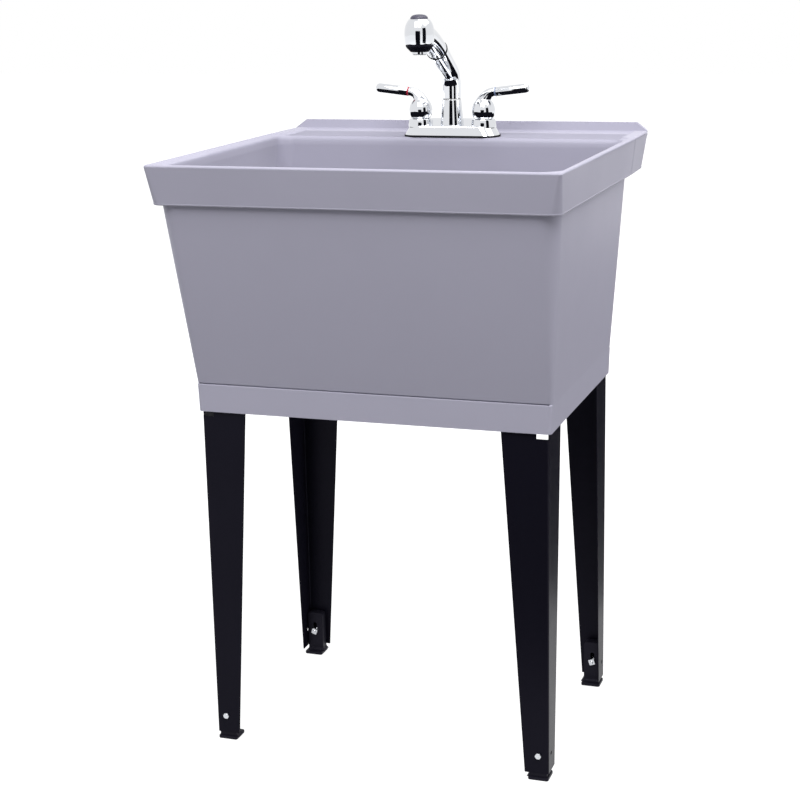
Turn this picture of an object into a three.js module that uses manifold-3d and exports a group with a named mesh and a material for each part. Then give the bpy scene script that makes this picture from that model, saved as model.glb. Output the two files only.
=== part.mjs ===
import * as THREE from "three";
import { mergeVertices } from "three/addons/utils/BufferGeometryUtils.js";
import Module from "manifold-3d";

// A plastic laundry tub on four pressed-steel legs, with a two-handle tap whose spray head pulls out.
// Millimetres: X to the right, Y from the front of the tub to the wall, Z up from the floor.

const gap = 0.3; // left between two pieces that touch

// Tub, as measured over its rim. "Set back" sizes are measured from the front edge of the rim.
const rimWidth = 583.6;
const rimBow = 2.7; // each side of the rim swells by this much where the tap deck starts
const tubDepth = 563.3;
const rimHeight = 872;
const tubHeight = 360.4; // rim to the foot of the skirt
const bowlDepth = 327;
const wall = 4;

// Band: the turned-down border of the rim.
const bandHeight = 56;
const bandWall = 3.5;
const bandSideDraft = 4;
const bandRearDraft = 6.3; // at the sides of the tap deck
const bandFrontDraft = 10.1;
const bandBackDraft = 16;
const bandRimRadius = 5; // front corners, at the rim and at the band's foot
const bandFootRadius = 14;
const bandDeckRadius = 20;
const bandBackRadius = 9;
const rimEdgeRadius = 3;
const bandClearance = 1.5; // open groove between the band's wall and the bowl's

// Bowl: inside the band, narrowing towards the skirt.
const sideLedge = 15.8;
const frontLedge = 19.8;
const deckDepth = 112.5;
const deckDrop = 4;
const sideTaper = 20.8; // each side wall leans in by this much at the front, band to skirt
const rearTaper = 23.7; // and at the back
const frontTaper = 58.2;
const backTaper = 5.5;
const bowlTopRadius = 22; // outer corner radius at the band, and at the skirt
const bowlFootRadius = 6;
const bowlInnerRadius = 22;
const floorFillet = 28;
const floorFall = 2; // the floor sinks by this much towards the drain

// Upstand: the low lip along the wall side of the deck.
const upstandRise = 12.7;
const upstandThickness = 9;
const upstandEndInset = 17;

// Skirt: the straight border under the bowl that the legs stand in.
const skirtHeight = 40.8;
const skirtWall = 3;
const skirtDraft = 1.5;
const skirtProud = 1.8; // stands out from the bowl's front and back walls
const skirtEdgeRadius = 1.8;
const underFloor = 6.3; // floor surface to the tub's underside

// Legs.
const steel = 1.5;
const legTopWidth = 69;
const legFootWidth = 35;
const legBottom = 11;
const legBendRadius = 3;
const legReliefWidth = 17.5;
const legReliefDepth = 3;
const legReliefHeight = 12;
const legReliefDrop = 8.2; // skirt's foot to the bottom of the relief
const legClearance = 1; // skirt to leg
const socketRib = 3;
const socketOverlap = 4; // the ribs reach this much past the leg's edge
const socketSetback = 6; // the skirt's foot to the ribs

// Levelling feet and their bolts.
const boltHeight = 38;
const boltInset = 15;
const boltDiameter = 5;
const boltHoleClearance = 0.6;
const boltThreadClearance = 0.15;
const boltHeadFlats = 8;
const boltHeadHeight = 3;
const boltOverrun = 1.5; // how far the bolt comes out of its nut
const nutWidth = 9;
const nutHeight = 4;
const nutTurn = THREE.MathUtils.degToRad(18); // as it was tightened
const footColumnWidth = 25.6;
const footColumnDepth = 15;
const footColumnTop = 70;
const footColumnRadius = 6;
const footColumnChamfer = 2;
const footPad = 30;
const footPadHeight = 4.8;
const footPadRadius = 3;
const footPadX = 0.5; // the pad's near edges, measured from the leg's faces
const footPadY = -1;
const footSlotClearance = 0.7;
const footSlotBelow = 5.5; // the slot's ends, measured from the bolt
const footSlotAbove = 15;
const footFlare = 4; // the column widens by this much where it meets the pad
const footFlareHeight = 7;

// Drain.
const drainTubeDiameter = 48;
const drainTubeLength = 45;
const drainTubeWall = 4;
const drainHoleClearance = 2;
const drainFlangeReach = 14; // beyond the tube
const drainFlangeHeight = 2.4;
const drainSeatDrop = 0.6; // the floor's lowest point to the flange's seat
const drainFlare = 8; // the cup opens by this much at the flange
const strainerDrop = 14; // the tub's underside to the strainer
const strainerHeight = 3;
const strainerHoles = 6;
const strainerHoleDiameter = 8.4;
const strainerRim = 3.3;
const drainGasketHeight = 3;
const locknutHeight = 9;
const locknutWall = 9;
const locknutLugs = 4;
const locknutLugReach = 5.5;
const locknutLugWidth = 9;
const slipNutHeight = 24;
const slipNutWall = 6;
const slipNutFloor = 3;
const tailDiameter = 38;
const tailWall = 2;
const tailLength = 24;
const tailFlange = 5;
const plugDepth = 11;
const plugTaper = 2.5;
const plugLip = 9.5;
const plugLipHeight = 2.1;
const plugNeckDiameter = 8;
const plugKnobDiameter = 16;
const plugKnobHeight = 16;

// Tap: its base, measured from the top of the deck.
const holeSpacing = 50.8; // centre hole to each side hole: a 4-inch centreset
const tapSetback = 83.5; // wall side of the rim to the tap's centre line
const plateLength = 150;
const plateDepth = 48;
const plateRadius = 21;
const plateFrontHeight = 14.4;
const plateBackHeight = 24;
const plateEndDraft = 10;
const plateSideDraft = 4;
const plateEdge = 1.2;
const plateWall = 3;
const gasketHeight = 1.5;
const gasketProud = 0.7;
const hubSeat = 26.8;
const swivelSeat = 56.5;
const pillarFlare = 4.2; // the pillar's foot stands out this far beyond the spout

// Tap: what goes through the deck.
const turnClearance = 0.4; // around whatever slides or turns in a bore
const shankDiameter = 20;
const shankLength = 50; // below the deck's top
const shankBore = 12;
const shankHoleClearance = 4;
const bonnetDiameter = 17.6;
const collarDiameter = 24.4;
const collarHeight = 5;
const stemDiameter = 8;
const stemLength = 19;
const hoseTubeDiameter = 21.2;
const hoseTubeLength = 38; // below the deck's top
const hoseTubeBore = 16;
const hoseHoleClearance = 6.4;
const deckWasherOverlap = 3;
const deckWasherHeight = 1.6;
const deckNutHeight = 11;
const deckNutWall = 3.6;
const deckNutWing = 3;
const deckNutWingWidth = 4;
const deckNutCollar = 2; // the plain ring above the wings

// Tap: spout and spray head.
const swivelWasherHeight = 1.4;
const spoutDiameter = 28.8;
const spoutBend = 30;
const spoutAngle = THREE.MathUtils.degToRad(30.3); // above the horizontal
const spoutReach = 71.5;
const spoutDockDiameter = 31.4;
const dockHeight = 135;
const dockSpigotDiameter = 22;
const dockSpigotLength = 16;
const dockRingHeight = 1.2;
const sleeveRise = 11; // the plate's front height to the foot of the spout's sleeve
const neckLead = 42; // the spray head's neck runs straight for about this far
const sprayReach = 154.5;
const sprayHeight = 147; // top of the black spray ring
const sprayHeadDiameter = 43.6;
const sprayHeadHeight = 36.6;
const sprayRingDiameter = 40.6;
const sprayRingHeight = 10.2;
const sprayRingEdge = 1.4;
const ringSpigotDiameter = 30;
const ringSpigotHeight = 5.5;
const sprayFaceDiameter = 21.8;
const sprayFaceDrop = 4; // below the ring
const sprayFaceHeight = 7.9;
const buttonDiameter = 25.8;
const buttonSeat = 27; // the floor of its well, above the spray head's foot
const buttonTravel = 3;
const buttonCrown = 5.7;
const buttonTop = 43.3; // above the spray ring
const hoseEndDiameter = 12.4;
const hoseEndLength = 42;

// Tap: handles.
const hubDiameter = 36.6;
const hubHeight = 32.5;
const hubWall = 5.8;
const hubSeatFlare = 0.9;
const leverHeight = 68.3;
const leverNeck = 19; // stem to the coloured ring
const leverReach = 72.5;
const leverDiameter = 14.4;
const leverEdge = 5;
const leverSlope = THREE.MathUtils.degToRad(6.5);
const leverRootDrop = 17;
const leverRingWidth = 1.3;
const spigotDiameter = 8;
const spigotReach = 30;

// Values that follow from the sizes above.
const halfWidth = rimWidth / 2;
const frontY = -tubDepth / 2;
const backY = tubDepth / 2;
const bandFoot = rimHeight - bandHeight;
const skirtFoot = rimHeight - tubHeight;
const skirtTop = skirtFoot + skirtHeight;
const floorZ = rimHeight - bowlDepth;
const underside = floorZ - underFloor;
const deckZ = rimHeight - deckDrop;
const cavityTop = deckZ - wall;
const bowlFrontY = frontY + bandFrontDraft + bandWall + bandClearance;
const bowlBackY = backY - deckDepth;
const bowlHalf = halfWidth - bandSideDraft - bandWall - bandClearance;
const bowlRearHalf = halfWidth + rimBow - bandRearDraft - bandWall - bandClearance;
const drainY = (bowlFrontY + frontTaper + bowlBackY - backTaper) / 2;
const tapY = backY - tapSetback;
const drainSeatZ = floorZ - floorFall - drainSeatDrop;
const drainTopZ = drainSeatZ + gap + drainFlangeHeight;
const drainFootZ = underside - drainTubeLength;
const strainerZ = underside - strainerDrop;
const drainTubeRadius = drainTubeDiameter / 2;
const drainBoreRadius = drainTubeRadius - drainTubeWall;
const drainFlangeRadius = drainTubeRadius + drainFlangeReach;
const boltHoleRadius = boltDiameter / 2 + boltHoleClearance;
const boltLength = steel + footColumnDepth + nutHeight + 3 * gap + boltOverrun;
const plateFoot = 2 * gap + gasketHeight;
const valveHoleRadius = shankDiameter / 2 + shankHoleClearance;
const hoseHoleRadius = hoseTubeDiameter / 2 + hoseHoleClearance;
const sleeveRadius = (hoseTubeDiameter + turnClearance) / 2;
const sleeveFoot = plateFoot + plateFrontHeight + sleeveRise;
const centreBore = sleeveRadius + turnClearance;
const spoutFoot = swivelSeat + 2 * gap + swivelWasherHeight;
const dockBore = dockSpigotDiameter / 2 + gap;
const sprayFoot = sprayHeight + gap;
const spigotBore = spigotDiameter / 2 + gap;

const wasm = await Module();
wasm.setup();

// A closed geometry as a solid that can be joined and cut.
function solid(geometry) {
  const bare = geometry.clone();
  bare.deleteAttribute("normal");
  bare.deleteAttribute("uv");
  const merged = mergeVertices(bare, 1e-4);
  const corners = merged.index.array;
  const kept = [];
  for (let i = 0; i < corners.length; i += 3) {
    const [a, b, c] = corners.slice(i, i + 3);
    if (a !== b && b !== c && c !== a) kept.push(a, b, c);
  }
  const vertProperties = merged.attributes.position.array;
  return new wasm.Manifold(new wasm.Mesh({ numProp: 3, vertProperties, triVerts: new Uint32Array(kept) }));
}

function joined(first, ...rest) {
  return rest.reduce((body, next) => body.add(next), first);
}

function cut(body, ...tools) {
  return tools.reduce((left, tool) => left.subtract(tool), body);
}

// A solid skinned over closed rings of points, all turning the same way seen from the last ring.
function loft(rings) {
  const count = rings[0].length;
  const tip = (ring) => {
    const centre = ring.reduce((sum, p) => sum.add(p), new THREE.Vector3()).divideScalar(count);
    return ring.map(() => centre);
  };
  const closed = [tip(rings[0]), ...rings, tip(rings.at(-1))];
  const positions = closed.flat().flatMap((p) => [p.x, p.y, p.z]);
  const triangles = [];
  for (let k = 0; k + 1 < closed.length; k += 1) {
    for (let i = 0; i < count; i += 1) {
      const j = (i + 1) % count;
      const low = k * count;
      const high = low + count;
      triangles.push(low + i, low + j, high + j);
      triangles.push(low + i, high + j, high + i);
    }
  }
  const geometry = new THREE.BufferGeometry();
  geometry.setAttribute("position", new THREE.Float32BufferAttribute(positions, 3));
  geometry.setIndex(triangles);
  return solid(geometry);
}

// Corners { x, y, r } going anticlockwise, each rounded by an arc.
function roundedOutline(corners, steps) {
  return corners.flatMap((corner, i) => {
    const here = new THREE.Vector2(corner.x, corner.y);
    const before = corners.at(i - 1);
    const after = corners[(i + 1) % corners.length];
    const toBefore = new THREE.Vector2(before.x, before.y).sub(here).normalize();
    const toAfter = new THREE.Vector2(after.x, after.y).sub(here).normalize();
    const half = Math.acos(THREE.MathUtils.clamp(toBefore.dot(toAfter), -1, 1)) / 2;
    const bisector = toBefore.clone().add(toAfter).normalize();
    const centre = here.clone().addScaledVector(bisector, corner.r / Math.sin(half));
    const start = here.clone().addScaledVector(toBefore, corner.r / Math.tan(half)).sub(centre);
    const turn = Math.PI - 2 * half;
    return Array.from({ length: steps + 1 }, (_, k) => {
      const arm = start.clone().rotateAround(new THREE.Vector2(), (turn * k) / steps);
      return centre.clone().add(arm);
    });
  });
}

function ringAt(outline, z) {
  return outline.map((p) => new THREE.Vector3(p.x, p.y, typeof z === "function" ? z(p) : z));
}

// A straight-sided box with its own corner radius.
function rectangle(halfX, y0, y1, r, steps) {
  const corners = [
    { x: -halfX, y: y0, r },
    { x: halfX, y: y0, r },
    { x: halfX, y: y1, r },
    { x: -halfX, y: y1, r },
  ];
  return roundedOutline(corners, steps);
}

function block(x0, x1, y0, y1, z0, z1) {
  const box = new THREE.BoxGeometry(x1 - x0, y1 - y0, z1 - z0);
  return solid(box.translate((x0 + x1) / 2, (y0 + y1) / 2, (z0 + z1) / 2));
}

// A solid of revolution about Z: the profile is [radius, height] pairs from bottom to top.
function turned(profile, segments, x = 0, y = 0) {
  const ends = [[0, profile[0][1]], ...profile, [0, profile.at(-1)[1]]];
  const points = ends.map(([r, z]) => new THREE.Vector2(r, z));
  const geometry = new THREE.LatheGeometry(points, segments);
  return solid(geometry.rotateX(Math.PI / 2).translate(x, y, 0));
}

function rod(radius, z0, z1, segments, x = 0, y = 0) {
  const geometry = new THREE.CylinderGeometry(radius, radius, z1 - z0, segments);
  return solid(geometry.rotateX(Math.PI / 2).translate(x, y, (z0 + z1) / 2));
}

// The radius of a prism's corners from the width across its flats.
function cornerRadius(flats, sides) {
  return flats / 2 / Math.cos(Math.PI / sides);
}

// The band's outline at a height, drawn in by an inset.
function bandOutline(z, inset) {
  const fall = THREE.MathUtils.clamp((rimHeight - z) / bandHeight, 0, 1);
  const front = halfWidth - bandSideDraft * fall - inset;
  const middle = halfWidth + rimBow - bandRearDraft * fall - inset;
  const back = halfWidth - bandRearDraft * fall - inset;
  const y0 = frontY + bandFrontDraft * fall + inset;
  const y1 = backY - bandBackDraft * fall - inset;
  const frontRadius = THREE.MathUtils.lerp(bandRimRadius, bandFootRadius, fall);
  const corners = [
    { x: -front, y: y0, r: Math.max(frontRadius - inset, 1) },
    { x: front, y: y0, r: Math.max(frontRadius - inset, 1) },
    { x: middle, y: bowlBackY, r: bandDeckRadius },
    { x: back, y: y1, r: Math.max(bandBackRadius - inset, 1) },
    { x: -back, y: y1, r: Math.max(bandBackRadius - inset, 1) },
    { x: -middle, y: bowlBackY, r: bandDeckRadius },
  ];
  return roundedOutline(corners, 4);
}

// The outline of the bowl's outer wall at a height, drawn in by an inset, with its own corner radius.
function bowlOutline(z, inset, r) {
  const fall = Math.max((bandFoot - z) / (bandFoot - skirtTop), 0);
  const front = bowlHalf - sideTaper * fall - inset;
  const back = bowlRearHalf - rearTaper * fall - inset;
  const y0 = bowlFrontY + frontTaper * fall + inset;
  const y1 = bowlBackY + wall - backTaper * fall - inset;
  return trapezium(front, back, y0, y1, r);
}

// The skirt carries on the bowl's sides with a slighter lean, and steps out at the front and back.
const skirtFrontY = bowlFrontY + frontTaper - skirtProud;
const skirtBackY = bowlBackY + wall - backTaper + skirtProud;

function skirtOutline(z, inset) {
  const fall = THREE.MathUtils.clamp((skirtTop - z) / skirtHeight, 0, 1);
  const front = bowlHalf - sideTaper - skirtDraft * fall - inset;
  const back = bowlRearHalf - rearTaper - skirtDraft * fall - inset;
  const r = Math.max(bowlFootRadius - inset, 1);
  return trapezium(front, back, skirtFrontY + inset, skirtBackY - inset, r);
}

function trapezium(frontHalf, backHalf, y0, y1, r) {
  const corners = [
    { x: -frontHalf, y: y0, r },
    { x: frontHalf, y: y0, r },
    { x: backHalf, y: y1, r },
    { x: -backHalf, y: y1, r },
  ];
  return roundedOutline(corners, 5);
}

// The legs' outer corners, where the skirt's foot holds them.
const legSetIn = skirtWall + legClearance;
const frontLegX = bowlHalf - sideTaper - skirtDraft - legSetIn;
const rearLegX = bowlRearHalf - rearTaper - skirtDraft - legSetIn;
const frontLegY = skirtFrontY + legSetIn;
const rearLegY = skirtBackY - legSetIn;

// Each corner's frame has its origin at the leg's bend and its X and Y axes along the flanges.
const legCorners = [
  { side: "front_left", sx: 1, sy: 1, x: -frontLegX, y: frontLegY },
  { side: "front_right", sx: -1, sy: 1, x: frontLegX, y: frontLegY },
  { side: "rear_left", sx: 1, sy: -1, x: -rearLegX, y: rearLegY },
  { side: "rear_right", sx: -1, sy: -1, x: rearLegX, y: rearLegY },
];

function bandSolid() {
  const edge = rimEdgeRadius;
  const roundings = [0, 30, 60, 90].map((degrees) => {
    const a = THREE.MathUtils.degToRad(degrees);
    return ringAt(bandOutline(rimHeight, edge * (1 - Math.cos(a))), rimHeight - edge * (1 - Math.sin(a)));
  });
  return loft([ringAt(bandOutline(bandFoot, 0), bandFoot), ...roundings]);
}

function bandCavity() {
  const low = ringAt(bandOutline(bandFoot, bandWall), bandFoot - 1);
  const z = rimHeight - wall;
  return loft([low, ringAt(bandOutline(z, bandWall), z)]);
}

function deckSlab() {
  const half = halfWidth - sideLedge + wall;
  const slab = block(-half, half, bowlBackY, backY, cavityTop, rimHeight - 1);
  const outline = bandOutline(cavityTop, 1);
  return slab.intersect(loft([ringAt(outline, cavityTop - 1), ringAt(outline, rimHeight)]));
}

function bowlBody() {
  const levels = [
    [underside, bowlFootRadius],
    [skirtTop, bowlFootRadius],
    [bandFoot, bowlTopRadius],
    [rimHeight - wall + 1, bowlTopRadius],
  ];
  return loft(levels.map(([z, r]) => ringAt(bowlOutline(z, 0, r), z)));
}

function skirtBody() {
  const edge = skirtEdgeRadius;
  const rings = [skirtFoot, skirtTop - edge].map((z) => ringAt(skirtOutline(z, 0), z));
  rings.push(ringAt(skirtOutline(skirtTop, edge * 0.3), skirtTop - edge * 0.3));
  rings.push(ringAt(skirtOutline(skirtTop, edge), skirtTop));
  return loft(rings);
}

// The inside of the bowl, from the dished floor to the rounded top edge.
function bowlSpace() {
  const centre = new THREE.Vector3(0, drainY, floorZ - floorFall);
  const floorSteps = [90, 67, 45, 22].map((degrees) => {
    const a = THREE.MathUtils.degToRad(degrees);
    const z = floorZ + floorFillet * (1 - Math.sin(a));
    return ringAt(bowlOutline(z, wall + floorFillet * (1 - Math.cos(a)), bowlInnerRadius), z);
  });
  const walls = [floorZ + floorFillet, bandFoot].map((z) => {
    return ringAt(bowlOutline(z, wall, bowlInnerRadius), z);
  });
  const mouth = topRings();
  const floorTip = floorSteps[0].map(() => centre);
  return loft([floorTip, ...floorSteps, ...walls, ...mouth]);
}

// The bowl's mouth: it widens by "out" at the front and sides, and by "back" over the edge of the deck.
function topRings() {
  const sideEdge = halfWidth - sideLedge;
  const levels = [
    { z: deckZ - 8, out: 0, back: 0 },
    { z: deckZ - 4, out: 0.2, back: 1.5 },
    { z: deckZ - 1.4, out: 0.6, back: 4.6 },
    { z: deckZ, out: 1.2, back: 5.2 },
    { z: rimHeight - 1, out: 2.4, back: 8 },
    { z: rimHeight + 0.5, out: 5.5, back: 12 },
  ];
  return levels.map(({ z, out, back }) => {
    const r = bowlInnerRadius + out;
    const corners = [
      { x: -(sideEdge + out), y: frontY + frontLedge - out, r },
      { x: sideEdge + out, y: frontY + frontLedge - out, r },
      { x: sideEdge + out, y: bowlBackY + back, r },
      { x: -(sideEdge + out), y: bowlBackY + back, r },
    ];
    return ringAt(roundedOutline(corners, 5), z);
  });
}

function deckRecess() {
  const endSlope = 8;
  const radius = 5;
  const y0 = bowlBackY - 20;
  const y1 = backY - upstandThickness;
  const low = rectangle(halfWidth - sideLedge - endSlope, y0, y1 - 1, radius, 3);
  const high = rectangle(halfWidth - sideLedge, y0, y1, radius, 3);
  return loft([ringAt(low, deckZ), ringAt(high, rimHeight + 1)]);
}

function upstand() {
  const shape = new THREE.Shape();
  shape.moveTo(-halfWidth, cavityTop + 1);
  shape.lineTo(halfWidth, cavityTop + 1);
  shape.lineTo(halfWidth, rimHeight);
  shape.lineTo(halfWidth - upstandEndInset, rimHeight + upstandRise);
  shape.lineTo(-halfWidth + upstandEndInset, rimHeight + upstandRise);
  shape.lineTo(-halfWidth, rimHeight);
  const lip = new THREE.ExtrudeGeometry(shape, { depth: upstandThickness, bevelEnabled: false });
  lip.rotateX(Math.PI / 2).translate(0, backY, 0);
  const outline = bandOutline(rimHeight, 0);
  const trim = loft([ringAt(outline, cavityTop), ringAt(outline, rimHeight + upstandRise + 1)]);
  return solid(lip).intersect(trim);
}

// Ribs under the tub that make an L-shaped slot for each leg.
function legSockets() {
  const ribs = [];
  const inner = steel + gap;
  const start = legBendRadius;
  const reach = legTopWidth + socketOverlap;
  const z0 = skirtFoot + socketSetback;
  const z1 = underside + 1;
  const span = (a, b) => [Math.min(a, b), Math.max(a, b)];
  for (const { sx, sy, x, y } of legCorners) {
    const alongX = span(x + sx * start, x + sx * reach);
    const acrossX = span(x + sx * inner, x + sx * (inner + socketRib));
    const alongY = span(y + sy * start, y + sy * reach);
    const acrossY = span(y + sy * inner, y + sy * (inner + socketRib));
    ribs.push(block(...alongX, ...acrossY, z0, z1));
    ribs.push(block(...acrossX, ...alongY, z0, z1));
  }
  return ribs;
}

function tubShell() {
  const band = cut(bandSolid(), bandCavity());
  const skirtSpace = loft([
    ringAt(skirtOutline(skirtFoot, skirtWall), skirtFoot - 1),
    ringAt(skirtOutline(underside, skirtWall), underside),
  ]);
  const outside = joined(band, deckSlab(), bowlBody(), upstand());
  const skirt = joined(cut(skirtBody(), skirtSpace), ...legSockets());
  const holes = [-1, 0, 1].map((side) => {
    const radius = side === 0 ? hoseHoleRadius : valveHoleRadius;
    return rod(radius, cavityTop - 10, rimHeight, 24, side * holeSpacing, tapY);
  });
  const drainSeat = rod(drainFlangeRadius + 1, drainSeatZ, floorZ + 1, 32, 0, drainY);
  const drainHole = rod(drainTubeRadius + drainHoleClearance, underside - 1, floorZ + 1, 32, 0, drainY);
  return cut(joined(outside, skirt), bowlSpace(), deckRecess(), ...holes, drainSeat, drainHole);
}

// One leg in its own corner's frame: X and Y run along its two flanges, away from the bend.
function legSolid() {
  const top = underside - gap;
  const w = legTopWidth;
  const r = legBendRadius;
  const shape = new THREE.Shape();
  shape.moveTo(r, 0);
  shape.lineTo(w, 0);
  shape.lineTo(w, steel);
  shape.lineTo(r, steel);
  shape.absarc(r, r, r - steel, 1.5 * Math.PI, Math.PI, true);
  shape.lineTo(steel, w);
  shape.lineTo(0, w);
  shape.lineTo(0, r);
  shape.absarc(r, r, r, Math.PI, 1.5 * Math.PI, false);
  const depth = top - legBottom;
  const angle = new THREE.ExtrudeGeometry(shape, { depth, bevelEnabled: false, curveSegments: 4 });
  angle.translate(0, 0, legBottom);
  const square = (side, z) => ringAt(boxOutline(-1, side, -1, side), z);
  const taper = loft([square(legFootWidth, legBottom - 1), square(legTopWidth, top + 1)]);
  const reliefZ = skirtFoot - legReliefDrop;
  const relief = block(-1, legReliefWidth, -1, legReliefDepth, reliefZ, reliefZ + legReliefHeight);
  const hole = new THREE.CylinderGeometry(boltHoleRadius, boltHoleRadius, 4 * steel, 16);
  const frontHole = hole.clone().translate(boltInset, steel / 2, boltHeight);
  const sideHole = hole.rotateZ(Math.PI / 2).translate(steel / 2, boltInset, boltHeight);
  return cut(solid(angle).intersect(taper), relief, solid(frontHole), solid(sideHole));
}

function boxOutline(x0, x1, y0, y1) {
  return [
    new THREE.Vector2(x0, y0),
    new THREE.Vector2(x1, y0),
    new THREE.Vector2(x1, y1),
    new THREE.Vector2(x0, y1),
  ];
}

// The levelling foot: a slotted column on a square pad, standing inside the leg's angle.
function footSolid() {
  const x0 = legBendRadius;
  const x1 = x0 + footColumnWidth;
  const y0 = steel + gap;
  const y1 = y0 + footColumnDepth;
  const top = footColumnTop;
  const r = footColumnRadius;
  const shape = new THREE.Shape();
  shape.moveTo(x0, 0);
  shape.lineTo(x1, 0);
  shape.lineTo(x1, top - r);
  shape.absarc(x1 - r, top - r, r, 0, Math.PI / 2, false);
  shape.lineTo(x0 + footColumnChamfer, top);
  shape.lineTo(x0, top - footColumnChamfer);
  const options = { depth: footColumnDepth, bevelEnabled: false, curveSegments: 4 };
  const column = new THREE.ExtrudeGeometry(shape, options);
  column.rotateX(Math.PI / 2).translate(0, y1, 0);
  const padBody = loft([
    ringAt(padOutline(0.8), 0),
    ringAt(padOutline(0), 0.8),
    ringAt(padOutline(0), footPadHeight - 1),
    ringAt(padOutline(1), footPadHeight),
  ]);
  const flareAt = (out, rise) => ringAt(boxOutline(x0, x1 + out, y0, y1 + out), footPadHeight + rise);
  const flare = loft([flareAt(footFlare, -1), flareAt(footFlare / 3, 2), flareAt(-0.5, footFlareHeight)]);
  return cut(joined(solid(column), flare, padBody), footSlot(y0 - 1, y1 + 1));
}

function padOutline(inset) {
  const x0 = footPadX + inset;
  const y0 = footPadY + inset;
  const x1 = footPadX + footPad - inset;
  const y1 = footPadY + footPad - inset;
  const corners = boxOutline(x0, x1, y0, y1).map(({ x, y }) => ({ x, y, r: footPadRadius }));
  return roundedOutline(corners, 3);
}

function footSlot(y0, y1) {
  const r = boltDiameter / 2 + footSlotClearance;
  const shape = new THREE.Shape();
  shape.absarc(boltInset, boltHeight + footSlotAbove - r, r, 0, Math.PI, false);
  shape.absarc(boltInset, boltHeight - footSlotBelow + r, r, Math.PI, 2 * Math.PI, false);
  const slot = new THREE.ExtrudeGeometry(shape, { depth: y1 - y0, bevelEnabled: false, curveSegments: 6 });
  return solid(slot.rotateX(Math.PI / 2).translate(0, y1, 0));
}

function footBolt() {
  const headRadius = cornerRadius(boltHeadFlats, 6);
  const head = new THREE.CylinderGeometry(headRadius, headRadius, boltHeadHeight, 6);
  head.translate(boltInset, -gap - boltHeadHeight / 2, boltHeight);
  const shank = new THREE.CylinderGeometry(boltDiameter / 2, boltDiameter / 2, boltLength, 12);
  shank.translate(boltInset, boltLength / 2 - gap - 0.1, boltHeight);
  return joined(solid(head), solid(shank));
}

function footNut() {
  const y0 = steel + footColumnDepth + 2 * gap;
  const body = new THREE.BoxGeometry(nutWidth, nutHeight, nutWidth);
  body.rotateY(nutTurn).translate(boltInset, y0 + nutHeight / 2, boltHeight);
  const boreRadius = boltDiameter / 2 + boltThreadClearance;
  const bore = new THREE.CylinderGeometry(boreRadius, boreRadius, 3 * nutHeight, 12);
  bore.translate(boltInset, y0, boltHeight);
  return cut(solid(body), solid(bore));
}

// Drain pieces, all about the drain's axis at X = 0, Y = 0.
function drainBody() {
  const seat = drainSeatZ + gap;
  const outer = turned(
    [
      [drainTubeRadius, drainFootZ],
      [drainTubeRadius, seat],
      [drainFlangeRadius, seat],
      [drainFlangeRadius, seat + drainFlangeHeight / 2],
      [drainFlangeRadius - 2, drainTopZ],
    ],
    32,
  );
  const cup = turned(
    [
      [drainBoreRadius, strainerZ + strainerHeight],
      [drainBoreRadius, seat],
      [drainBoreRadius + drainFlare, drainTopZ + 1],
    ],
    32,
  );
  const lower = rod(drainBoreRadius, drainFootZ - 1, strainerZ, 32);
  const holeRadius = strainerHoleDiameter / 2;
  const circle = drainBoreRadius - strainerRim - holeRadius;
  const holes = Array.from({ length: strainerHoles }, (_, k) => {
    const angle = (2 * Math.PI * k) / strainerHoles;
    const x = circle * Math.cos(angle);
    const y = circle * Math.sin(angle);
    return rod(holeRadius, strainerZ - 1, strainerZ + strainerHeight + 1, 8, x, y);
  });
  return cut(outer, cup, lower, ...holes);
}

function ringSolid(outerRadius, innerRadius, z0, z1, segments) {
  return cut(rod(outerRadius, z0, z1, segments), rod(innerRadius, z0 - 1, z1 + 1, segments));
}

function drainGasket() {
  const top = underside - gap;
  return ringSolid(drainFlangeRadius - 1, drainTubeRadius + gap, top - drainGasketHeight, top, 32);
}

function drainLocknut() {
  const top = underside - drainGasketHeight - 2 * gap;
  const low = top - locknutHeight;
  const radius = drainTubeRadius + locknutWall;
  const lugs = Array.from({ length: locknutLugs }, (_, k) => {
    const half = locknutLugWidth / 2;
    const lug = block(radius - 1.5, radius + locknutLugReach, -half, half, low, top);
    return lug.rotate([0, 0, (360 * k) / locknutLugs]);
  });
  return joined(ringSolid(radius, drainTubeRadius + gap, low, top, 32), ...lugs);
}

function slipNut() {
  const shelf = drainFootZ - gap - tailFlange - gap;
  const low = shelf - slipNutFloor;
  const top = low + slipNutHeight;
  const outer = rod(cornerRadius(drainTubeDiameter + 2 * slipNutWall, 8), low, top, 8);
  const bore = rod(drainTubeRadius + gap, shelf, top + 1, 32);
  const throat = rod(tailDiameter / 2 + gap, low - 1, top, 32);
  return cut(outer, bore, throat);
}

function tailpiece() {
  const flangeTop = drainFootZ - gap;
  const low = flangeTop - tailLength;
  const flangeRadius = drainTubeRadius - 0.5;
  const outer = turned(
    [
      [tailDiameter / 2, low],
      [tailDiameter / 2, flangeTop - tailFlange],
      [flangeRadius, flangeTop - tailFlange],
      [flangeRadius, flangeTop],
    ],
    32,
  );
  return cut(outer, rod(tailDiameter / 2 - tailWall, low - 1, flangeTop + 1, 32));
}

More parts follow.
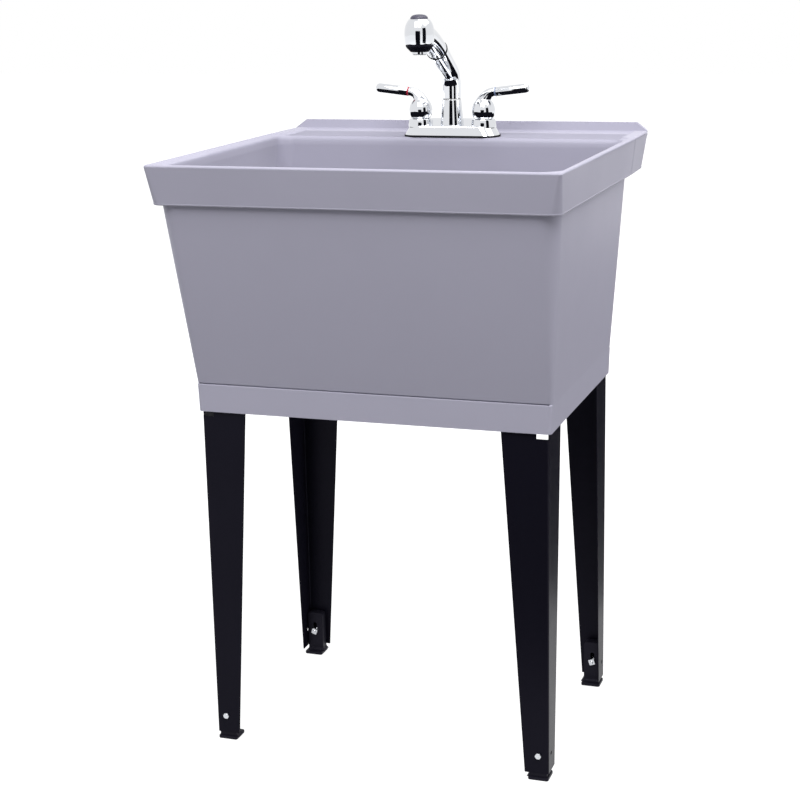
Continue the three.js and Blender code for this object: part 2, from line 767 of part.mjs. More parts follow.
// The stopper: a rubber plug that seats in the drain's cup, with a knob to lift it by.
function drainPlug() {
  const r = drainBoreRadius - gap;
  const foot = drainTopZ + gap;
  const lipTop = foot + plugLipHeight;
  const knobTop = drainTopZ + plugKnobHeight;
  const knob = plugKnobDiameter / 2;
  const neck = plugNeckDiameter / 2;
  const profile = [
    [r - plugTaper, drainTopZ - plugDepth],
    [r, drainTopZ - plugDepth / 2],
    [r, foot],
    [r + plugLip, foot],
    [r + plugLip - 0.5, lipTop],
    [neck + 2, lipTop + 0.6],
    [neck, lipTop + 3.6],
    [neck, knobTop - 7],
    [knob, knobTop - 4],
    [knob, knobTop - 1.5],
    [knob - 2, knobTop],
  ];
  return turned(profile, 32);
}

// Tap pieces. Their frame has Z = 0 on the deck's top and Y = 0 on the tap's centre line.
function plateOutline(shrinkX, shrinkY, radius) {
  const halfX = plateLength / 2 - shrinkX;
  const halfY = plateDepth / 2 - shrinkY;
  return rectangle(halfX, -halfY, halfY, radius, 6);
}

// The plate's top slopes up towards the wall.
function plateTop(p) {
  const reach = plateDepth / 2 - plateSideDraft;
  const t = (p.y + reach) / (2 * reach);
  return plateFoot + THREE.MathUtils.lerp(plateFrontHeight, plateBackHeight, t);
}

function tapGasket() {
  const outline = plateOutline(-gasketProud, -gasketProud, plateRadius + gasketProud);
  const sheet = loft([ringAt(outline, gap), ringAt(outline, gap + gasketHeight)]);
  const bore = collarDiameter / 2 + gap;
  const holes = [-1, 0, 1].map((side) => rod(bore, -1, gasketHeight + 2, 20, side * holeSpacing, 0));
  return cut(sheet, ...holes);
}

function tapBase() {
  const edge = plateEdge / 2;
  const shoulder = plateOutline(plateEndDraft - edge, plateSideDraft - edge, plateRadius - 3);
  const crown = plateOutline(plateEndDraft + edge, plateSideDraft + edge, plateRadius - 4);
  const body = loft([
    ringAt(plateOutline(0, 0, plateRadius), plateFoot),
    ringAt(shoulder, (p) => plateTop(p) - plateEdge),
    ringAt(crown, plateTop),
  ]);
  const t = plateWall;
  const cavity = loft([
    ringAt(plateOutline(t, t, plateRadius - t), plateFoot - 1),
    ringAt(plateOutline(plateEndDraft + t, plateSideDraft + t, plateRadius - 2 * t), (p) => plateTop(p) - t),
  ]);
  const low = plateFoot + plateFrontHeight - plateWall + 1;
  const seatRadius = hubDiameter / 2;
  const seats = [-1, 1].map((side) => {
    const seat = [
      [seatRadius + hubSeatFlare, low],
      [seatRadius + hubSeatFlare - 0.2, low + 6],
      [seatRadius - 0.6, hubSeat],
    ];
    return turned(seat, 28, side * holeSpacing, 0);
  });
  const pillar = turned(
    [
      [spoutDiameter / 2 + pillarFlare, low],
      [spoutDiameter / 2 + pillarFlare - 0.4, low + 4],
      [spoutDiameter / 2 + gap, swivelSeat],
    ],
    28,
  );
  const bonnetBore = bonnetDiameter / 2 + turnClearance;
  const bores = [-1, 1].map((side) => rod(bonnetBore, low - 5, hubSeat + 1, 20, side * holeSpacing, 0));
  const sleeveBore = rod(centreBore, low - 5, swivelSeat + 1, 24);
  return cut(joined(cut(body, cavity), ...seats, pillar), ...bores, sleeveBore);
}

function swivelWasher() {
  const foot = swivelSeat + gap;
  return ringSolid(spoutDiameter / 2 - 0.6, centreBore, foot, foot + swivelWasherHeight, 28);
}

// Circles along points { y, z, r } in the plane X = 0, each square to the direction given by its angle.
function pipe(stations, segments) {
  const rings = stations.map(({ y, z, r, angle }) => {
    return Array.from({ length: segments }, (_, i) => {
      const turn = (2 * Math.PI * i) / segments;
      const across = r * Math.sin(turn);
      const up = across * Math.cos(angle);
      return new THREE.Vector3(r * Math.cos(turn), y + across * Math.sin(angle), z + up);
    });
  });
  return loft(rings);
}

// Stations of the spout's centre line, from its foot up, over the bend and out to the dock.
function spoutStations(foot, dock, overrun) {
  const turn = Math.PI / 2 - spoutAngle;
  const corner = dockHeight - spoutReach * Math.tan(spoutAngle);
  const bendFoot = corner - spoutBend * Math.tan(turn / 2);
  const stations = [{ y: 0, z: spoutFoot - overrun, angle: Math.PI / 2, r: foot }];
  for (let k = 0; k <= 6; k += 1) {
    const a = (turn * k) / 6;
    const y = -spoutBend * (1 - Math.cos(a));
    stations.push({ y, z: bendFoot + spoutBend * Math.sin(a), angle: Math.PI / 2 - a, r: foot });
  }
  stations.push({ ...onDockAxis(overrun), r: dock });
  return stations;
}

function spoutSolid() {
  const outer = pipe(spoutStations(spoutDiameter / 2, spoutDockDiameter / 2, 0), 24);
  const sleeve = rod(sleeveRadius, sleeveFoot, spoutFoot + 1, 24);
  const bore = pipe(spoutStations(dockBore, dockBore, 0.5).slice(1), 20);
  const lower = rod(hoseTubeBore / 2 + turnClearance, sleeveFoot - 1, spoutFoot + 24, 20);
  return cut(joined(outer, sleeve), bore, lower);
}

// The line of the dock: points along the axis on which the spray head slides out of the spout.
function onDockAxis(s) {
  return {
    y: -spoutReach - s * Math.cos(spoutAngle),
    z: dockHeight + s * Math.sin(spoutAngle),
    angle: spoutAngle,
  };
}

function dockPipe(s0, s1, r, segments) {
  return pipe([{ ...onDockAxis(s0), r }, { ...onDockAxis(s1), r }], segments);
}

function dockRing() {
  const body = dockPipe(gap, gap + dockRingHeight, spoutDockDiameter / 2, 24);
  return cut(body, dockPipe(0, dockRingHeight + 1, dockBore, 24));
}

// The spray head: an upright body, the neck that leads into it, and the spigot that docks in the spout.
function sprayBody() {
  const outline = [
    [0.936, 0],
    [0.982, 0.164],
    [1, 0.355],
    [0.995, 0.519],
    [0.954, 0.683],
    [0.872, 0.82],
    [0.761, 0.929],
    [0.66, 1],
  ];
  const head = outline.map(([r, z]) => [(r * sprayHeadDiameter) / 2, sprayFoot + z * sprayHeadHeight]);
  const start = onDockAxis(dockRingHeight + 2 * gap);
  const bend = new THREE.Vector2(-spoutReach - neckLead, dockHeight + neckLead * Math.tan(spoutAngle));
  const end = new THREE.Vector2(-sprayReach + 6, sprayFoot + sprayHeadHeight / 2 - 1.6);
  const curve = new THREE.QuadraticBezierCurve(new THREE.Vector2(start.y, start.z), bend, end);
  const stations = [0, 0.25, 0.5, 0.75, 1].map((t) => {
    const point = curve.getPoint(t);
    const tangent = curve.getTangent(t);
    const angle = Math.atan2(tangent.y, -tangent.x);
    return { y: point.x, z: point.y, angle, r: spoutDockDiameter / 2 };
  });
  const neck = pipe(stations, 24);
  const spigot = dockPipe(-dockSpigotLength, 4, dockSpigotDiameter / 2, 20);
  const well = sprayRod(buttonDiameter / 2 + gap, sprayFoot + buttonSeat, sprayFoot + 2 * buttonTop);
  const socket = sprayRod(ringSpigotDiameter / 2 + gap, sprayHeight - 5, sprayFoot + ringSpigotHeight + 0.5);
  const ringRoom = sprayRod(sprayRingDiameter / 2 + gap, sprayHeight - 20, sprayFoot);
  return cut(joined(turned(head, 28, 0, -sprayReach), neck, spigot), well, socket, ringRoom);
}

function sprayRod(radius, z0, z1) {
  return rod(radius, z0, z1, 28, 0, -sprayReach);
}

function sprayRing() {
  const top = sprayHeight;
  const radius = sprayRingDiameter / 2;
  const spigot = ringSpigotDiameter / 2;
  const profile = [
    [radius * 0.62, top - sprayRingHeight],
    [radius * 0.862, top - sprayRingHeight * 0.54],
    [radius, top - sprayRingEdge],
    [radius, top],
    [spigot, top],
    [spigot, top + ringSpigotHeight],
  ];
  const well = sprayRod(sprayFaceDiameter / 2 + gap, top - sprayRingHeight - 1, faceTop() + gap);
  return cut(turned(profile, 28, 0, -sprayReach), well);
}

function faceTop() {
  return sprayHeight - sprayRingHeight - sprayFaceDrop + sprayFaceHeight;
}

function sprayFace() {
  const foot = sprayHeight - sprayRingHeight - sprayFaceDrop;
  const radius = sprayFaceDiameter / 2;
  return turned([[radius - 0.7, foot], [radius, foot + 0.8], [radius, faceTop()]], 24, 0, -sprayReach);
}

function sprayButton() {
  const foot = sprayFoot + buttonSeat + buttonTravel + 1;
  const top = sprayHeight + buttonTop;
  const r = buttonDiameter / 2;
  const profile = [
    [r, foot],
    [r, top - buttonCrown],
    [r * 0.915, top - buttonCrown * 0.58],
    [r * 0.713, top - buttonCrown * 0.23],
    [r * 0.388, top],
  ];
  return turned(profile, 28, 0, -sprayReach);
}

function hoseEnd() {
  const far = -dockSpigotLength - gap;
  return dockPipe(far - hoseEndLength, far, hoseEndDiameter / 2, 16);
}

// A handle in its own frame: the stem's axis is Z and the lever points along -X.
function handleSolid() {
  const r = hubDiameter / 2;
  const z0 = hubSeat + gap;
  const outline = [
    [0.967, 0],
    [1, 0.154],
    [0.978, 0.308],
    [0.902, 0.492],
    [0.77, 0.677],
    [0.585, 0.862],
    [0.399, 1],
  ];
  const hub = turned(
    outline.map(([width, height]) => [r * width, z0 + hubHeight * height]),
    28,
  );
  const root = [
    [-0.105, -1, 1.53],
    [0.158, -0.53, 1.333],
    [0.421, -0.2, 1.111],
    [0.711, -0.041, 0.986],
    [1, 0, 0.944],
  ];
  const stations = root.map(([reach, rise, width]) => {
    return [leverNeck * reach, leverRootDrop * rise, (leverDiameter / 2) * width];
  });
  const arm = leverPipe(stations);
  const spigot = leverPipe([
    [leverNeck - 4, 0, spigotDiameter / 2],
    [spigotReach, 0, spigotDiameter / 2],
  ]);
  const inner = r - hubWall;
  const hollow = turned(
    [
      [inner, z0 - 1],
      [inner, z0 + hubHeight / 4],
      [inner * 0.72, z0 + hubHeight * 0.43],
    ],
    24,
  );
  const socket = rod(stemDiameter / 2 + gap, z0 - 1, hubSeat + stemLength + gap, 12);
  return cut(joined(hub, arm, spigot), hollow, socket);
}

// Circles at [reach from the stem's axis, height from the lever's axis, radius].
function leverPipe(stations) {
  const segments = 20;
  const count = stations.length;
  const points = stations.map(([reach, rise]) => {
    const slope = Math.tan(leverSlope) * Math.max(reach - leverNeck, 0);
    return new THREE.Vector2(-reach, leverHeight + rise + slope);
  });
  const rings = points.map((point, i) => {
    const ahead = points[Math.min(i + 1, count - 1)];
    const behind = points[Math.max(i - 1, 0)];
    const direction = ahead.clone().sub(behind).normalize();
    const r = stations[i][2];
    return Array.from({ length: segments }, (_, k) => {
      const turn = (-2 * Math.PI * k) / segments;
      const across = r * Math.sin(turn);
      const x = point.x + across * direction.y;
      return new THREE.Vector3(x, r * Math.cos(turn), point.y - across * direction.x);
    });
  });
  return loft(rings);
}

function leverRing() {
  const start = leverNeck + gap;
  const end = start + leverRingWidth;
  const r = leverDiameter / 2 - 0.1;
  const bore = leverPipe([[start - 3, 0, spigotBore], [end + 3, 0, spigotBore]]);
  return cut(leverPipe([[start, 0, r], [end, 0, r]]), bore);
}

function leverGrip() {
  const start = leverNeck + 2 * gap + leverRingWidth;
  const r = leverDiameter / 2;
  const body = leverPipe([
    [start, 0, r - 0.5],
    [start + 1, 0, r],
    [leverReach - leverEdge, 0, r],
    [leverReach - leverEdge / 3, 0, r * 0.83],
    [leverReach, 0, r * 0.5],
  ]);
  return cut(body, leverPipe([[start - 3, 0, spigotBore], [spigotReach + 1, 0, spigotBore]]));
}

function valveStem() {
  const foot = hubSeat - 1;
  return rod(stemDiameter / 2, foot, foot + stemLength, 12);
}

// A body that hangs through the deck: a shank below its collar, and a neck of its own width above.
function throughDeck(shankRadius, shankFoot, neckRadius, neckTop, segments) {
  const low = plateFoot + gap;
  const high = plateFoot + collarHeight;
  const profile = [
    [shankRadius, shankFoot],
    [shankRadius, low],
    [collarDiameter / 2, low],
    [collarDiameter / 2, high],
    [neckRadius, high],
    [neckRadius, neckTop],
  ];
  return turned(profile, segments);
}

function valveBody() {
  const outer = throughDeck(shankDiameter / 2, -shankLength, bonnetDiameter / 2, hubSeat - 1 - gap, 20);
  return cut(outer, rod(shankBore / 2, -shankLength - 1, -5, 16));
}

function hoseTube() {
  const r = hoseTubeDiameter / 2;
  const outer = throughDeck(r, -hoseTubeLength, r, sleeveFoot - 1, 24);
  return cut(outer, rod(hoseTubeBore / 2, -hoseTubeLength - 1, sleeveFoot, 20));
}

function deckWasher(holeRadius, shankRadius) {
  const top = -wall - gap;
  const outer = holeRadius + deckWasherOverlap;
  return ringSolid(outer, shankRadius + turnClearance, top - deckWasherHeight, top, 24);
}

function deckNut(shankRadius) {
  const top = -wall - 2 * gap - deckWasherHeight;
  const low = top - deckNutHeight;
  const bore = shankRadius + turnClearance;
  const radius = bore + deckNutWall;
  const reach = radius + deckNutWing;
  const half = deckNutWingWidth / 2;
  const wings = [block(-reach, reach, -half, half, low, top - deckNutCollar)];
  wings.push(block(-half, half, -reach, reach, low, top - deckNutCollar));
  return cut(joined(rod(radius, low, top, 20), ...wings), rod(bore, low - 1, top + 1, 20));
}

// Finishes.
function finish(color, roughness, metalness) {
  return new THREE.MeshStandardMaterial({ color, roughness, metalness });
}

const tubPlastic = finish(0xa3a1b0, 0.45, 0);
const blackSteel = finish(0x1b1a22, 0.4, 0.2);
const blackPlastic = finish(0x18171d, 0.55, 0);
const zinc = finish(0xc9cbd0, 0.35, 0.9);
const chrome = finish(0xe6e7ea, 0.08, 1);
const brass = finish(0xb8934a, 0.35, 1);
const rubber = finish(0x15151a, 0.8, 0);
const whitePlastic = finish(0xe9e9e6, 0.5, 0);
const hotRed = finish(0xd0204a, 0.4, 0);
const coldBlue = finish(0x7f93b8, 0.4, 0);

function node(name, body, material) {
  const made = body.getMesh();
  const geometry = new THREE.BufferGeometry();
  geometry.setAttribute("position", new THREE.BufferAttribute(made.vertProperties, 3));
  geometry.setIndex(new THREE.BufferAttribute(made.triVerts, 1));
  geometry.computeVertexNormals();
  const mesh = new THREE.Mesh(geometry, material);
  mesh.name = name;
  return mesh;
}

const sink = new THREE.Group();
sink.add(node("tub", tubShell(), tubPlastic));

for (const { side, sx, sy, x, y } of legCorners) {
  const corner = new THREE.Group();
  corner.position.set(x, y, 0);
  corner.scale.set(sx, sy, 1);
  corner.add(node("leg_" + side, legSolid(), blackSteel));
  corner.add(node("foot_" + side, footSolid(), blackPlastic));
  corner.add(node("foot_bolt_" + side, footBolt(), zinc));
  corner.add(node("foot_nut_" + side, footNut(), zinc));
  sink.add(corner);
}

const drain = new THREE.Group();
drain.position.set(0, drainY, 0);
drain.add(node("drain_body", drainBody(), whitePlastic));
drain.add(node("drain_gasket", drainGasket(), rubber));
drain.add(node("drain_locknut", drainLocknut(), whitePlastic));
drain.add(node("slip_nut", slipNut(), whitePlastic));
drain.add(node("tailpiece", tailpiece(), whitePlastic));
drain.add(node("drain_plug", drainPlug(), rubber));
sink.add(drain);

const tap = new THREE.Group();
tap.position.set(0, tapY, deckZ);
tap.add(node("tap_gasket", tapGasket(), rubber));
tap.add(node("tap_base", tapBase(), chrome));
tap.add(node("swivel_washer", swivelWasher(), whitePlastic));
tap.add(node("spout", spoutSolid(), chrome));
tap.add(node("dock_ring", dockRing(), rubber));
tap.add(node("spray_body", sprayBody(), chrome));
tap.add(node("spray_ring", sprayRing(), blackPlastic));
tap.add(node("spray_face", sprayFace(), chrome));
tap.add(node("spray_button", sprayButton(), blackPlastic));
tap.add(node("hose_end", hoseEnd(), zinc));
tap.add(node("hose_tube", hoseTube(), brass));
tap.add(node("hose_tube_washer", deckWasher(hoseHoleRadius, hoseTubeDiameter / 2), rubber));
tap.add(node("hose_tube_nut", deckNut(hoseTubeDiameter / 2), whitePlastic));
const valves = [
  { name: "hot", x: -holeSpacing, mirror: 1, ring: hotRed },
  { name: "cold", x: holeSpacing, mirror: -1, ring: coldBlue },
];
for (const { name, x, mirror, ring } of valves) {
  const valve = new THREE.Group();
  valve.position.set(x, 0, 0);
  valve.scale.set(mirror, 1, 1);
  valve.add(node(name + "_handle", handleSolid(), chrome));
  valve.add(node(name + "_lever", leverGrip(), chrome));
  valve.add(node(name + "_ring", leverRing(), ring));
  valve.add(node(name + "_stem", valveStem(), brass));
  valve.add(node(name + "_valve", valveBody(), brass));
  valve.add(node(name + "_valve_washer", deckWasher(valveHoleRadius, shankDiameter / 2), rubber));
  valve.add(node(name + "_valve_nut", deckNut(shankDiameter / 2), whitePlastic));
  tap.add(valve);
}
sink.add(tap);

export default sink;
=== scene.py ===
from math import acos, cos, pi, radians, sin, tan

import bmesh
import bpy
from mathutils import Matrix, Vector


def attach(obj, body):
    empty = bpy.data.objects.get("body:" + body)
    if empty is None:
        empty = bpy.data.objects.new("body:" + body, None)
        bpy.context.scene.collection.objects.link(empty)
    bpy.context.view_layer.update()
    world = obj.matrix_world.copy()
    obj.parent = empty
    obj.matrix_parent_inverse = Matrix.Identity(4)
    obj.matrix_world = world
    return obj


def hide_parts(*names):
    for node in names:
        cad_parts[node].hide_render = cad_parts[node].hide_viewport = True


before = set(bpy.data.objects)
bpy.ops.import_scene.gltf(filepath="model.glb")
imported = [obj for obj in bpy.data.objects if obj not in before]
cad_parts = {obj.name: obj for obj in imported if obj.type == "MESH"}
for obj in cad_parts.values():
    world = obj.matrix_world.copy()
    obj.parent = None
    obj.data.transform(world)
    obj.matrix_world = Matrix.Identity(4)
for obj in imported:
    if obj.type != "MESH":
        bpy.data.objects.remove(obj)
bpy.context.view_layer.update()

# A deep plastic laundry tub on four pressed steel legs, with a two-handle pull-out tap.
# Sizes are in millimetres, in the part's frame, and become metres as each mesh is made.
MM = 0.001
scene = bpy.context.scene
scene.view_settings.view_transform = "Standard"

# Rim, band and bowl
HALF_WIDTH = 291.8
RIM_BOW = 2.7
FRONT_Y = -281.65
BACK_Y = 281.65
RIM_Z = 872
DECK_Z = 868
WALL = 4
BAND_FOOT = 816
BAND_WALL = 3.5
BAND_SIDE_DRAFT = 4
BAND_REAR_DRAFT = 6.3
BAND_FRONT_DRAFT = 10.1
BAND_BACK_DRAFT = 16
RIM_EDGE = 3
SIDE_LEDGE = 15.8
FRONT_LEDGE = 19.8
BOWL_FRONT_Y = -266.55
BOWL_BACK_Y = 169.15
BOWL_HALF = 282.8
BOWL_REAR_HALF = 283.2
SIDE_TAPER = 20.8
REAR_TAPER = 23.7
FRONT_TAPER = 58.2
BACK_TAPER = 5.5
BOWL_TOP_RADIUS = 28
BOWL_FOOT_RADIUS = 6
INNER_RADIUS = 22
FLOOR_Z = 545
FLOOR_FALL = 2
FLOOR_FILLET = 28
UNDERSIDE = 538.7
UPSTAND_RISE = 12.7
UPSTAND_THICKNESS = 9
UPSTAND_INSET = 17
UPSTAND_TOE = 1.8
UPSTAND_LEAN = 0.24

# Skirt, with the sockets that the legs stand in
SKIRT_TOP = 552.4
SKIRT_FOOT = 511.6
SKIRT_WALL = 3
SKIRT_DRAFT = 1.5
SKIRT_EDGE = 1.8
LINE_LIP = 0.8
LINE_DEPTH = 2.2
LINE_BELOW = 1.4
LINE_ABOVE = 1.1
SKIRT_STEP = 1.8
SKIRT_FRONT_Y = BOWL_FRONT_Y + FRONT_TAPER - SKIRT_STEP
SKIRT_BACK_Y = BOWL_BACK_Y + WALL - BACK_TAPER + SKIRT_STEP
SOCKET_RIB = 3

# Legs and levelling feet, each in its corner's own frame
STEEL = 1.5
LEG_TOP = 69
LEG_FOOT = 35
LEG_BOTTOM = 11
LEG_BEND = 3
GAP = 0.3
BOLT_Z = 38
BOLT_INSET = 15
BOLT_LENGTH = 22.9
BOLT_HOLE = 3.1
FOOT_WIDTH = 25.6
FOOT_DEPTH = 15
FOOT_TOP = 70
NUT_TURN = 0.314
CORNERS = {
    "front_left": (1, 1, -256.5, -206.15),
    "front_right": (-1, 1, 256.5, -206.15),
    "rear_left": (1, -1, -254, 165.45),
    "rear_right": (-1, -1, 254, 165.45),
}

# Drain, and tap
DRAIN_Y = -22.35
DRAIN_SEAT = 542.7
DRAIN_TOP = 545.1
DRAIN_FOOT = 493.7
STRAINER_Z = 524.7
DRAIN_SEAT_RADIUS = 39
DRAIN_HOLE = 26
DRAIN_CLEAR = 24.3
TAP_Y = 198.15
HOLE_SPACING = 50.8
VALVE_HOLE = 14
HOSE_HOLE = 17
PLATE_FOOT = 2.1
PLATE_HALF_X = 75
PLATE_HALF_Y = 24
HUB_SEAT = 26.8
SWIVEL_SEAT = 56.5
SPOUT_FOOT = 58.5
SPOUT_ANGLE = radians(30.3)
SPOUT_REACH = 71.5
DOCK_HEIGHT = 135
SPRAY_REACH = 154.5
SPRAY_HEIGHT = 147
SPRAY_RADIUS = 21.8
SPRAY_LENGTH = 36.6
SPOUT_RADIUS = 14.4
SPOUT_BORE = 11.3
SPOUT_BEND = 30
DOCK_RADIUS = 15.7
HUB_RADIUS = 18.3
HUB_HEIGHT = 32.5
LEVER_HEIGHT = 68.3
LEVER_NECK = 19
LEVER_SLOPE = radians(6.5)
X_AXIS = Vector((1, 0, 0))
Y_AXIS = Vector((0, 1, 0))

# Camera: its turns are yaw, pitch and roll
CAMERA_PLACE = (805.75, -2389.10, 1130.26)
CAMERA_TURN = (0.3352, -0.2476, -0.0211)
CAMERA_LENS = 77.70
CAMERA_SENSOR = 36


def in_scene(name, data):
    made = bpy.data.objects.new(name, data)
    scene.collection.objects.link(made)
    return made


def set_camera():
    yaw, pitch, roll = CAMERA_TURN
    ahead = Vector((-sin(yaw) * cos(pitch), cos(yaw) * cos(pitch), sin(pitch)))
    level = Vector((cos(yaw), sin(yaw), 0))
    above = level.cross(ahead)
    right = cos(roll) * level + sin(roll) * above
    up = cos(roll) * above - sin(roll) * level
    data = bpy.data.cameras.new("camera")
    data.lens, data.sensor_width = CAMERA_LENS, CAMERA_SENSOR
    camera = in_scene("camera", data)
    turn = Matrix((right, up, -ahead)).transposed().to_4x4()
    camera.matrix_world = Matrix.Translation(Vector(CAMERA_PLACE) * MM) @ turn
    scene.camera = camera


set_camera()


# ---- Shapes


def solid(name, points, faces):
    """A closed mesh with its faces outwards."""
    mesh = bpy.data.meshes.new(name)
    mesh.from_pydata([Vector(p) * MM for p in points], [], faces)
    return cleaned(in_scene(name, mesh))


def cleaned(piece, flat=None):
    edit = bmesh.new()
    edit.from_mesh(piece.data)
    bmesh.ops.remove_doubles(edit, verts=edit.verts, dist=2e-6)
    if flat:
        bmesh.ops.dissolve_limit(edit, angle_limit=flat, verts=edit.verts, edges=edit.edges)
    bmesh.ops.recalc_face_normals(edit, faces=edit.faces)
    edit.to_mesh(piece.data)
    edit.free()
    return piece


def loft(name, rings):
    """A solid skinned over rings of points. A ring of one point closes to a tip."""
    points, spans = [], []
    for ring in rings:
        spans.append((len(points), len(ring)))
        points.extend(ring)
    faces = []
    for (a, n), (b, m) in zip(spans, spans[1:]):
        for i in range(max(n, m)):
            j = (i + 1) % max(n, m)
            if n == 1:
                faces.append((a, b + j, b + i))
            elif m == 1:
                faces.append((a + i, a + j, b))
            else:
                faces.append((a + i, a + j, b + j, b + i))
    for (start, count), way in ((spans[0], -1), (spans[-1], 1)):
        if count > 1:
            faces.append([start + k for k in range(count)][::way])
    return solid(name, points, faces)


def rounded(corners, steps=8):
    """Corners (x, y, radius) going anticlockwise, each turned into an arc."""
    outline = []
    for i, (x, y, radius) in enumerate(corners):
        here = Vector((x, y))
        before = (Vector(corners[i - 1][:2]) - here).normalized()
        after = (Vector(corners[(i + 1) % len(corners)][:2]) - here).normalized()
        half = acos(max(-1, min(1, before.dot(after)))) / 2
        centre = here + (before + after).normalized() * (radius / sin(half))
        start = here + before * (radius / tan(half)) - centre
        turn = pi - 2 * half
        for k in range(steps + 1):
            outline.append(centre + Matrix.Rotation(turn * k / steps, 2) @ start)
    return outline


def at(outline, height):
    return [(p[0], p[1], height(p) if callable(height) else height) for p in outline]


def rectangle(x0, x1, y0, y1, radius, steps=8):
    return rounded([(x0, y0, radius), (x1, y0, radius), (x1, y1, radius), (x0, y1, radius)], steps)


def block(name, x0, x1, y0, y1, z0, z1):
    outline = [(x0, y0), (x1, y0), (x1, y1), (x0, y1)]
    return loft(name, [at(outline, z0), at(outline, z1)])


def circle(radius, z, segments, x=0, y=0):
    if radius < 1e-6:
        return [(x, y, z)]
    turns = [2 * pi * k / segments for k in range(segments)]
    return [(x + radius * cos(t), y + radius * sin(t), z) for t in turns]


def turned(name, profile, segments=64, x=0, y=0):
    """A solid of revolution about Z, from (radius, height) pairs going up."""
    return loft(name, [circle(r, z, segments, x, y) for r, z in profile])


def above(height, profile):
    """A (radius, height) outline that was given from a height of its own."""
    return [(r, height + z) for r, z in profile]


def rod(name, radius, z0, z1, segments=48, x=0, y=0):
    return turned(name, [(radius, z0), (radius, z1)], segments, x, y)


def collar(name, inner, outer, z0, z1, segments=64, x=0, y=0, edge=0.3):
    """A ring with softened edges."""
    loop = [(inner, z0 + edge), (inner + edge, z0), (outer - edge, z0), (outer, z0 + edge)]
    loop += [(outer, z1 - edge), (outer - edge, z1), (inner + edge, z1), (inner, z1 - edge)]
    points, faces = [], []
    for r, z in loop:
        points.extend(circle(r, z, segments, x, y))
    for k in range(len(loop)):
        low, high = k * segments, (k + 1) % len(loop) * segments
        for i in range(segments):
            j = (i + 1) % segments
            faces.append((low + i, low + j, high + j, high + i))
    return solid(name, points, faces)


def flowing(points, steps):
    """Points on a smooth curve through the given ones."""
    curve = []
    last = len(points) - 1
    for i in range(last):
        a, b, c, d = (Vector(points[min(max(k, 0), last)]) for k in (i - 1, i, i + 1, i + 2))
        for k in range(steps):
            t = k / steps
            bend = (2 * a - 5 * b + 4 * c - d) * t * t + (3 * b - a - 3 * c + d) * t ** 3
            curve.append((2 * b + (c - a) * t + bend) / 2)
    return curve + [Vector(points[last])]


def eased(profile, steps, foot, radius=1, height=1):
    """A (radius, height) outline on a smooth curve, scaled up from shares of both."""
    curve = flowing([(radius * r, foot + height * z, 0) for r, z in profile], steps)
    return [(max(p.x, 0), p.y) for p in curve]


def pipe(name, stations, side, segments=56):
    """A pipe through stations (centre, radius) that lie in the plane square to side."""
    centres = [Vector(c) for c, _ in stations]
    rings = []
    for i, (centre, radius) in enumerate(stations):
        ahead = centres[min(i + 1, len(centres) - 1)] - centres[max(i - 1, 0)]
        across = ahead.normalized().cross(side)
        turns = [2 * pi * k / segments for k in range(segments)]
        rings.append([Vector(centre) + radius * (cos(t) * side + sin(t) * across) for t in turns])
    return loft(name, rings)


def settle(piece):
    """Makes the result of the piece's modifiers its plain mesh."""
    found = piece.evaluated_get(bpy.context.evaluated_depsgraph_get())
    mesh = bpy.data.meshes.new_from_object(found)
    piece.modifiers.clear()
    piece.data = mesh
    return piece


def combined(piece, others, operation):
    for other in others:
        step = piece.modifiers.new(operation.lower(), "BOOLEAN")
        step.operation = operation
        step.solver = "MANIFOLD"
        step.object = other
    settle(piece)
    for other in others:
        bpy.data.objects.remove(other)
    return cleaned(piece)


def joined(piece, *others):
    return combined(piece, others, "UNION")


def cut(piece, *others):
    return combined(piece, others, "DIFFERENCE")


def shared(piece, *others):
    return combined(piece, others, "INTERSECT")


def shift(x, y, z):
    return Matrix.Translation((x, y, z))


def moved(piece, matrix):
    """Takes the mesh to its place, and turns its faces outwards again."""
    matrix = matrix.copy()
    matrix.translation *= MM
    piece.data.transform(matrix)
    return cleaned(piece)


def flowed(piece, voxel, rounds):
    """Melts the joins of a cast piece into each other."""
    step = piece.modifiers.new("melt", "REMESH")
    step.mode = "VOXEL"
    step.voxel_size = voxel * MM
    settle(piece)
    step = piece.modifiers.new("ease", "SMOOTH")
    step.factor = 0.5
    step.iterations = rounds
    return settle(piece)


# ---- Materials


def colour(code):
    """A linear colour from its six-digit code."""
    parts = [int(code[i : i + 2], 16) / 255 for i in (0, 2, 4)]
    return [c / 12.92 if c <= 0.04045 else ((c + 0.055) / 1.055) ** 2.4 for c in parts]


def node(tree, kind, inputs=(), **settings):
    """A new shader or geometry node with its inputs linked or set."""
    known = hasattr(bpy.types, "ShaderNode" + kind)
    made = tree.nodes.new(("ShaderNode" if known else "GeometryNode") + kind)
    for name, value in settings.items():
        setattr(made, name, value)
    for name, value in dict(inputs).items():
        if isinstance(value, bpy.types.NodeSocket):
            tree.links.new(value, made.inputs[name])
        else:
            made.inputs[name].default_value = value
    return made


def group(name, kind, inputs, outputs):
    """An empty node group with named sockets: a title for a number, or (title, type)."""
    tree = bpy.data.node_groups.new(name, kind)
    for sockets, way in ((inputs, "INPUT"), (outputs, "OUTPUT")):
        for socket in sockets:
            title, data = (socket, "Float") if isinstance(socket, str) else socket
            tree.interface.new_socket(title, in_out=way, socket_type="NodeSocket" + data)
    return tree, tree.nodes.new("NodeGroupInput").outputs, tree.nodes.new("NodeGroupOutput").inputs


def result(tree, kind, inputs=(), **settings):
    """The first output of a new node."""
    return node(tree, kind, inputs, **settings).outputs[0]


def noise(tree, where, scale, detail=2, rough=0.5):
    inputs = {"Vector": where, "Scale": scale, "Detail": detail, "Roughness": rough}
    return node(tree, "TexNoise", inputs).outputs["Fac"]


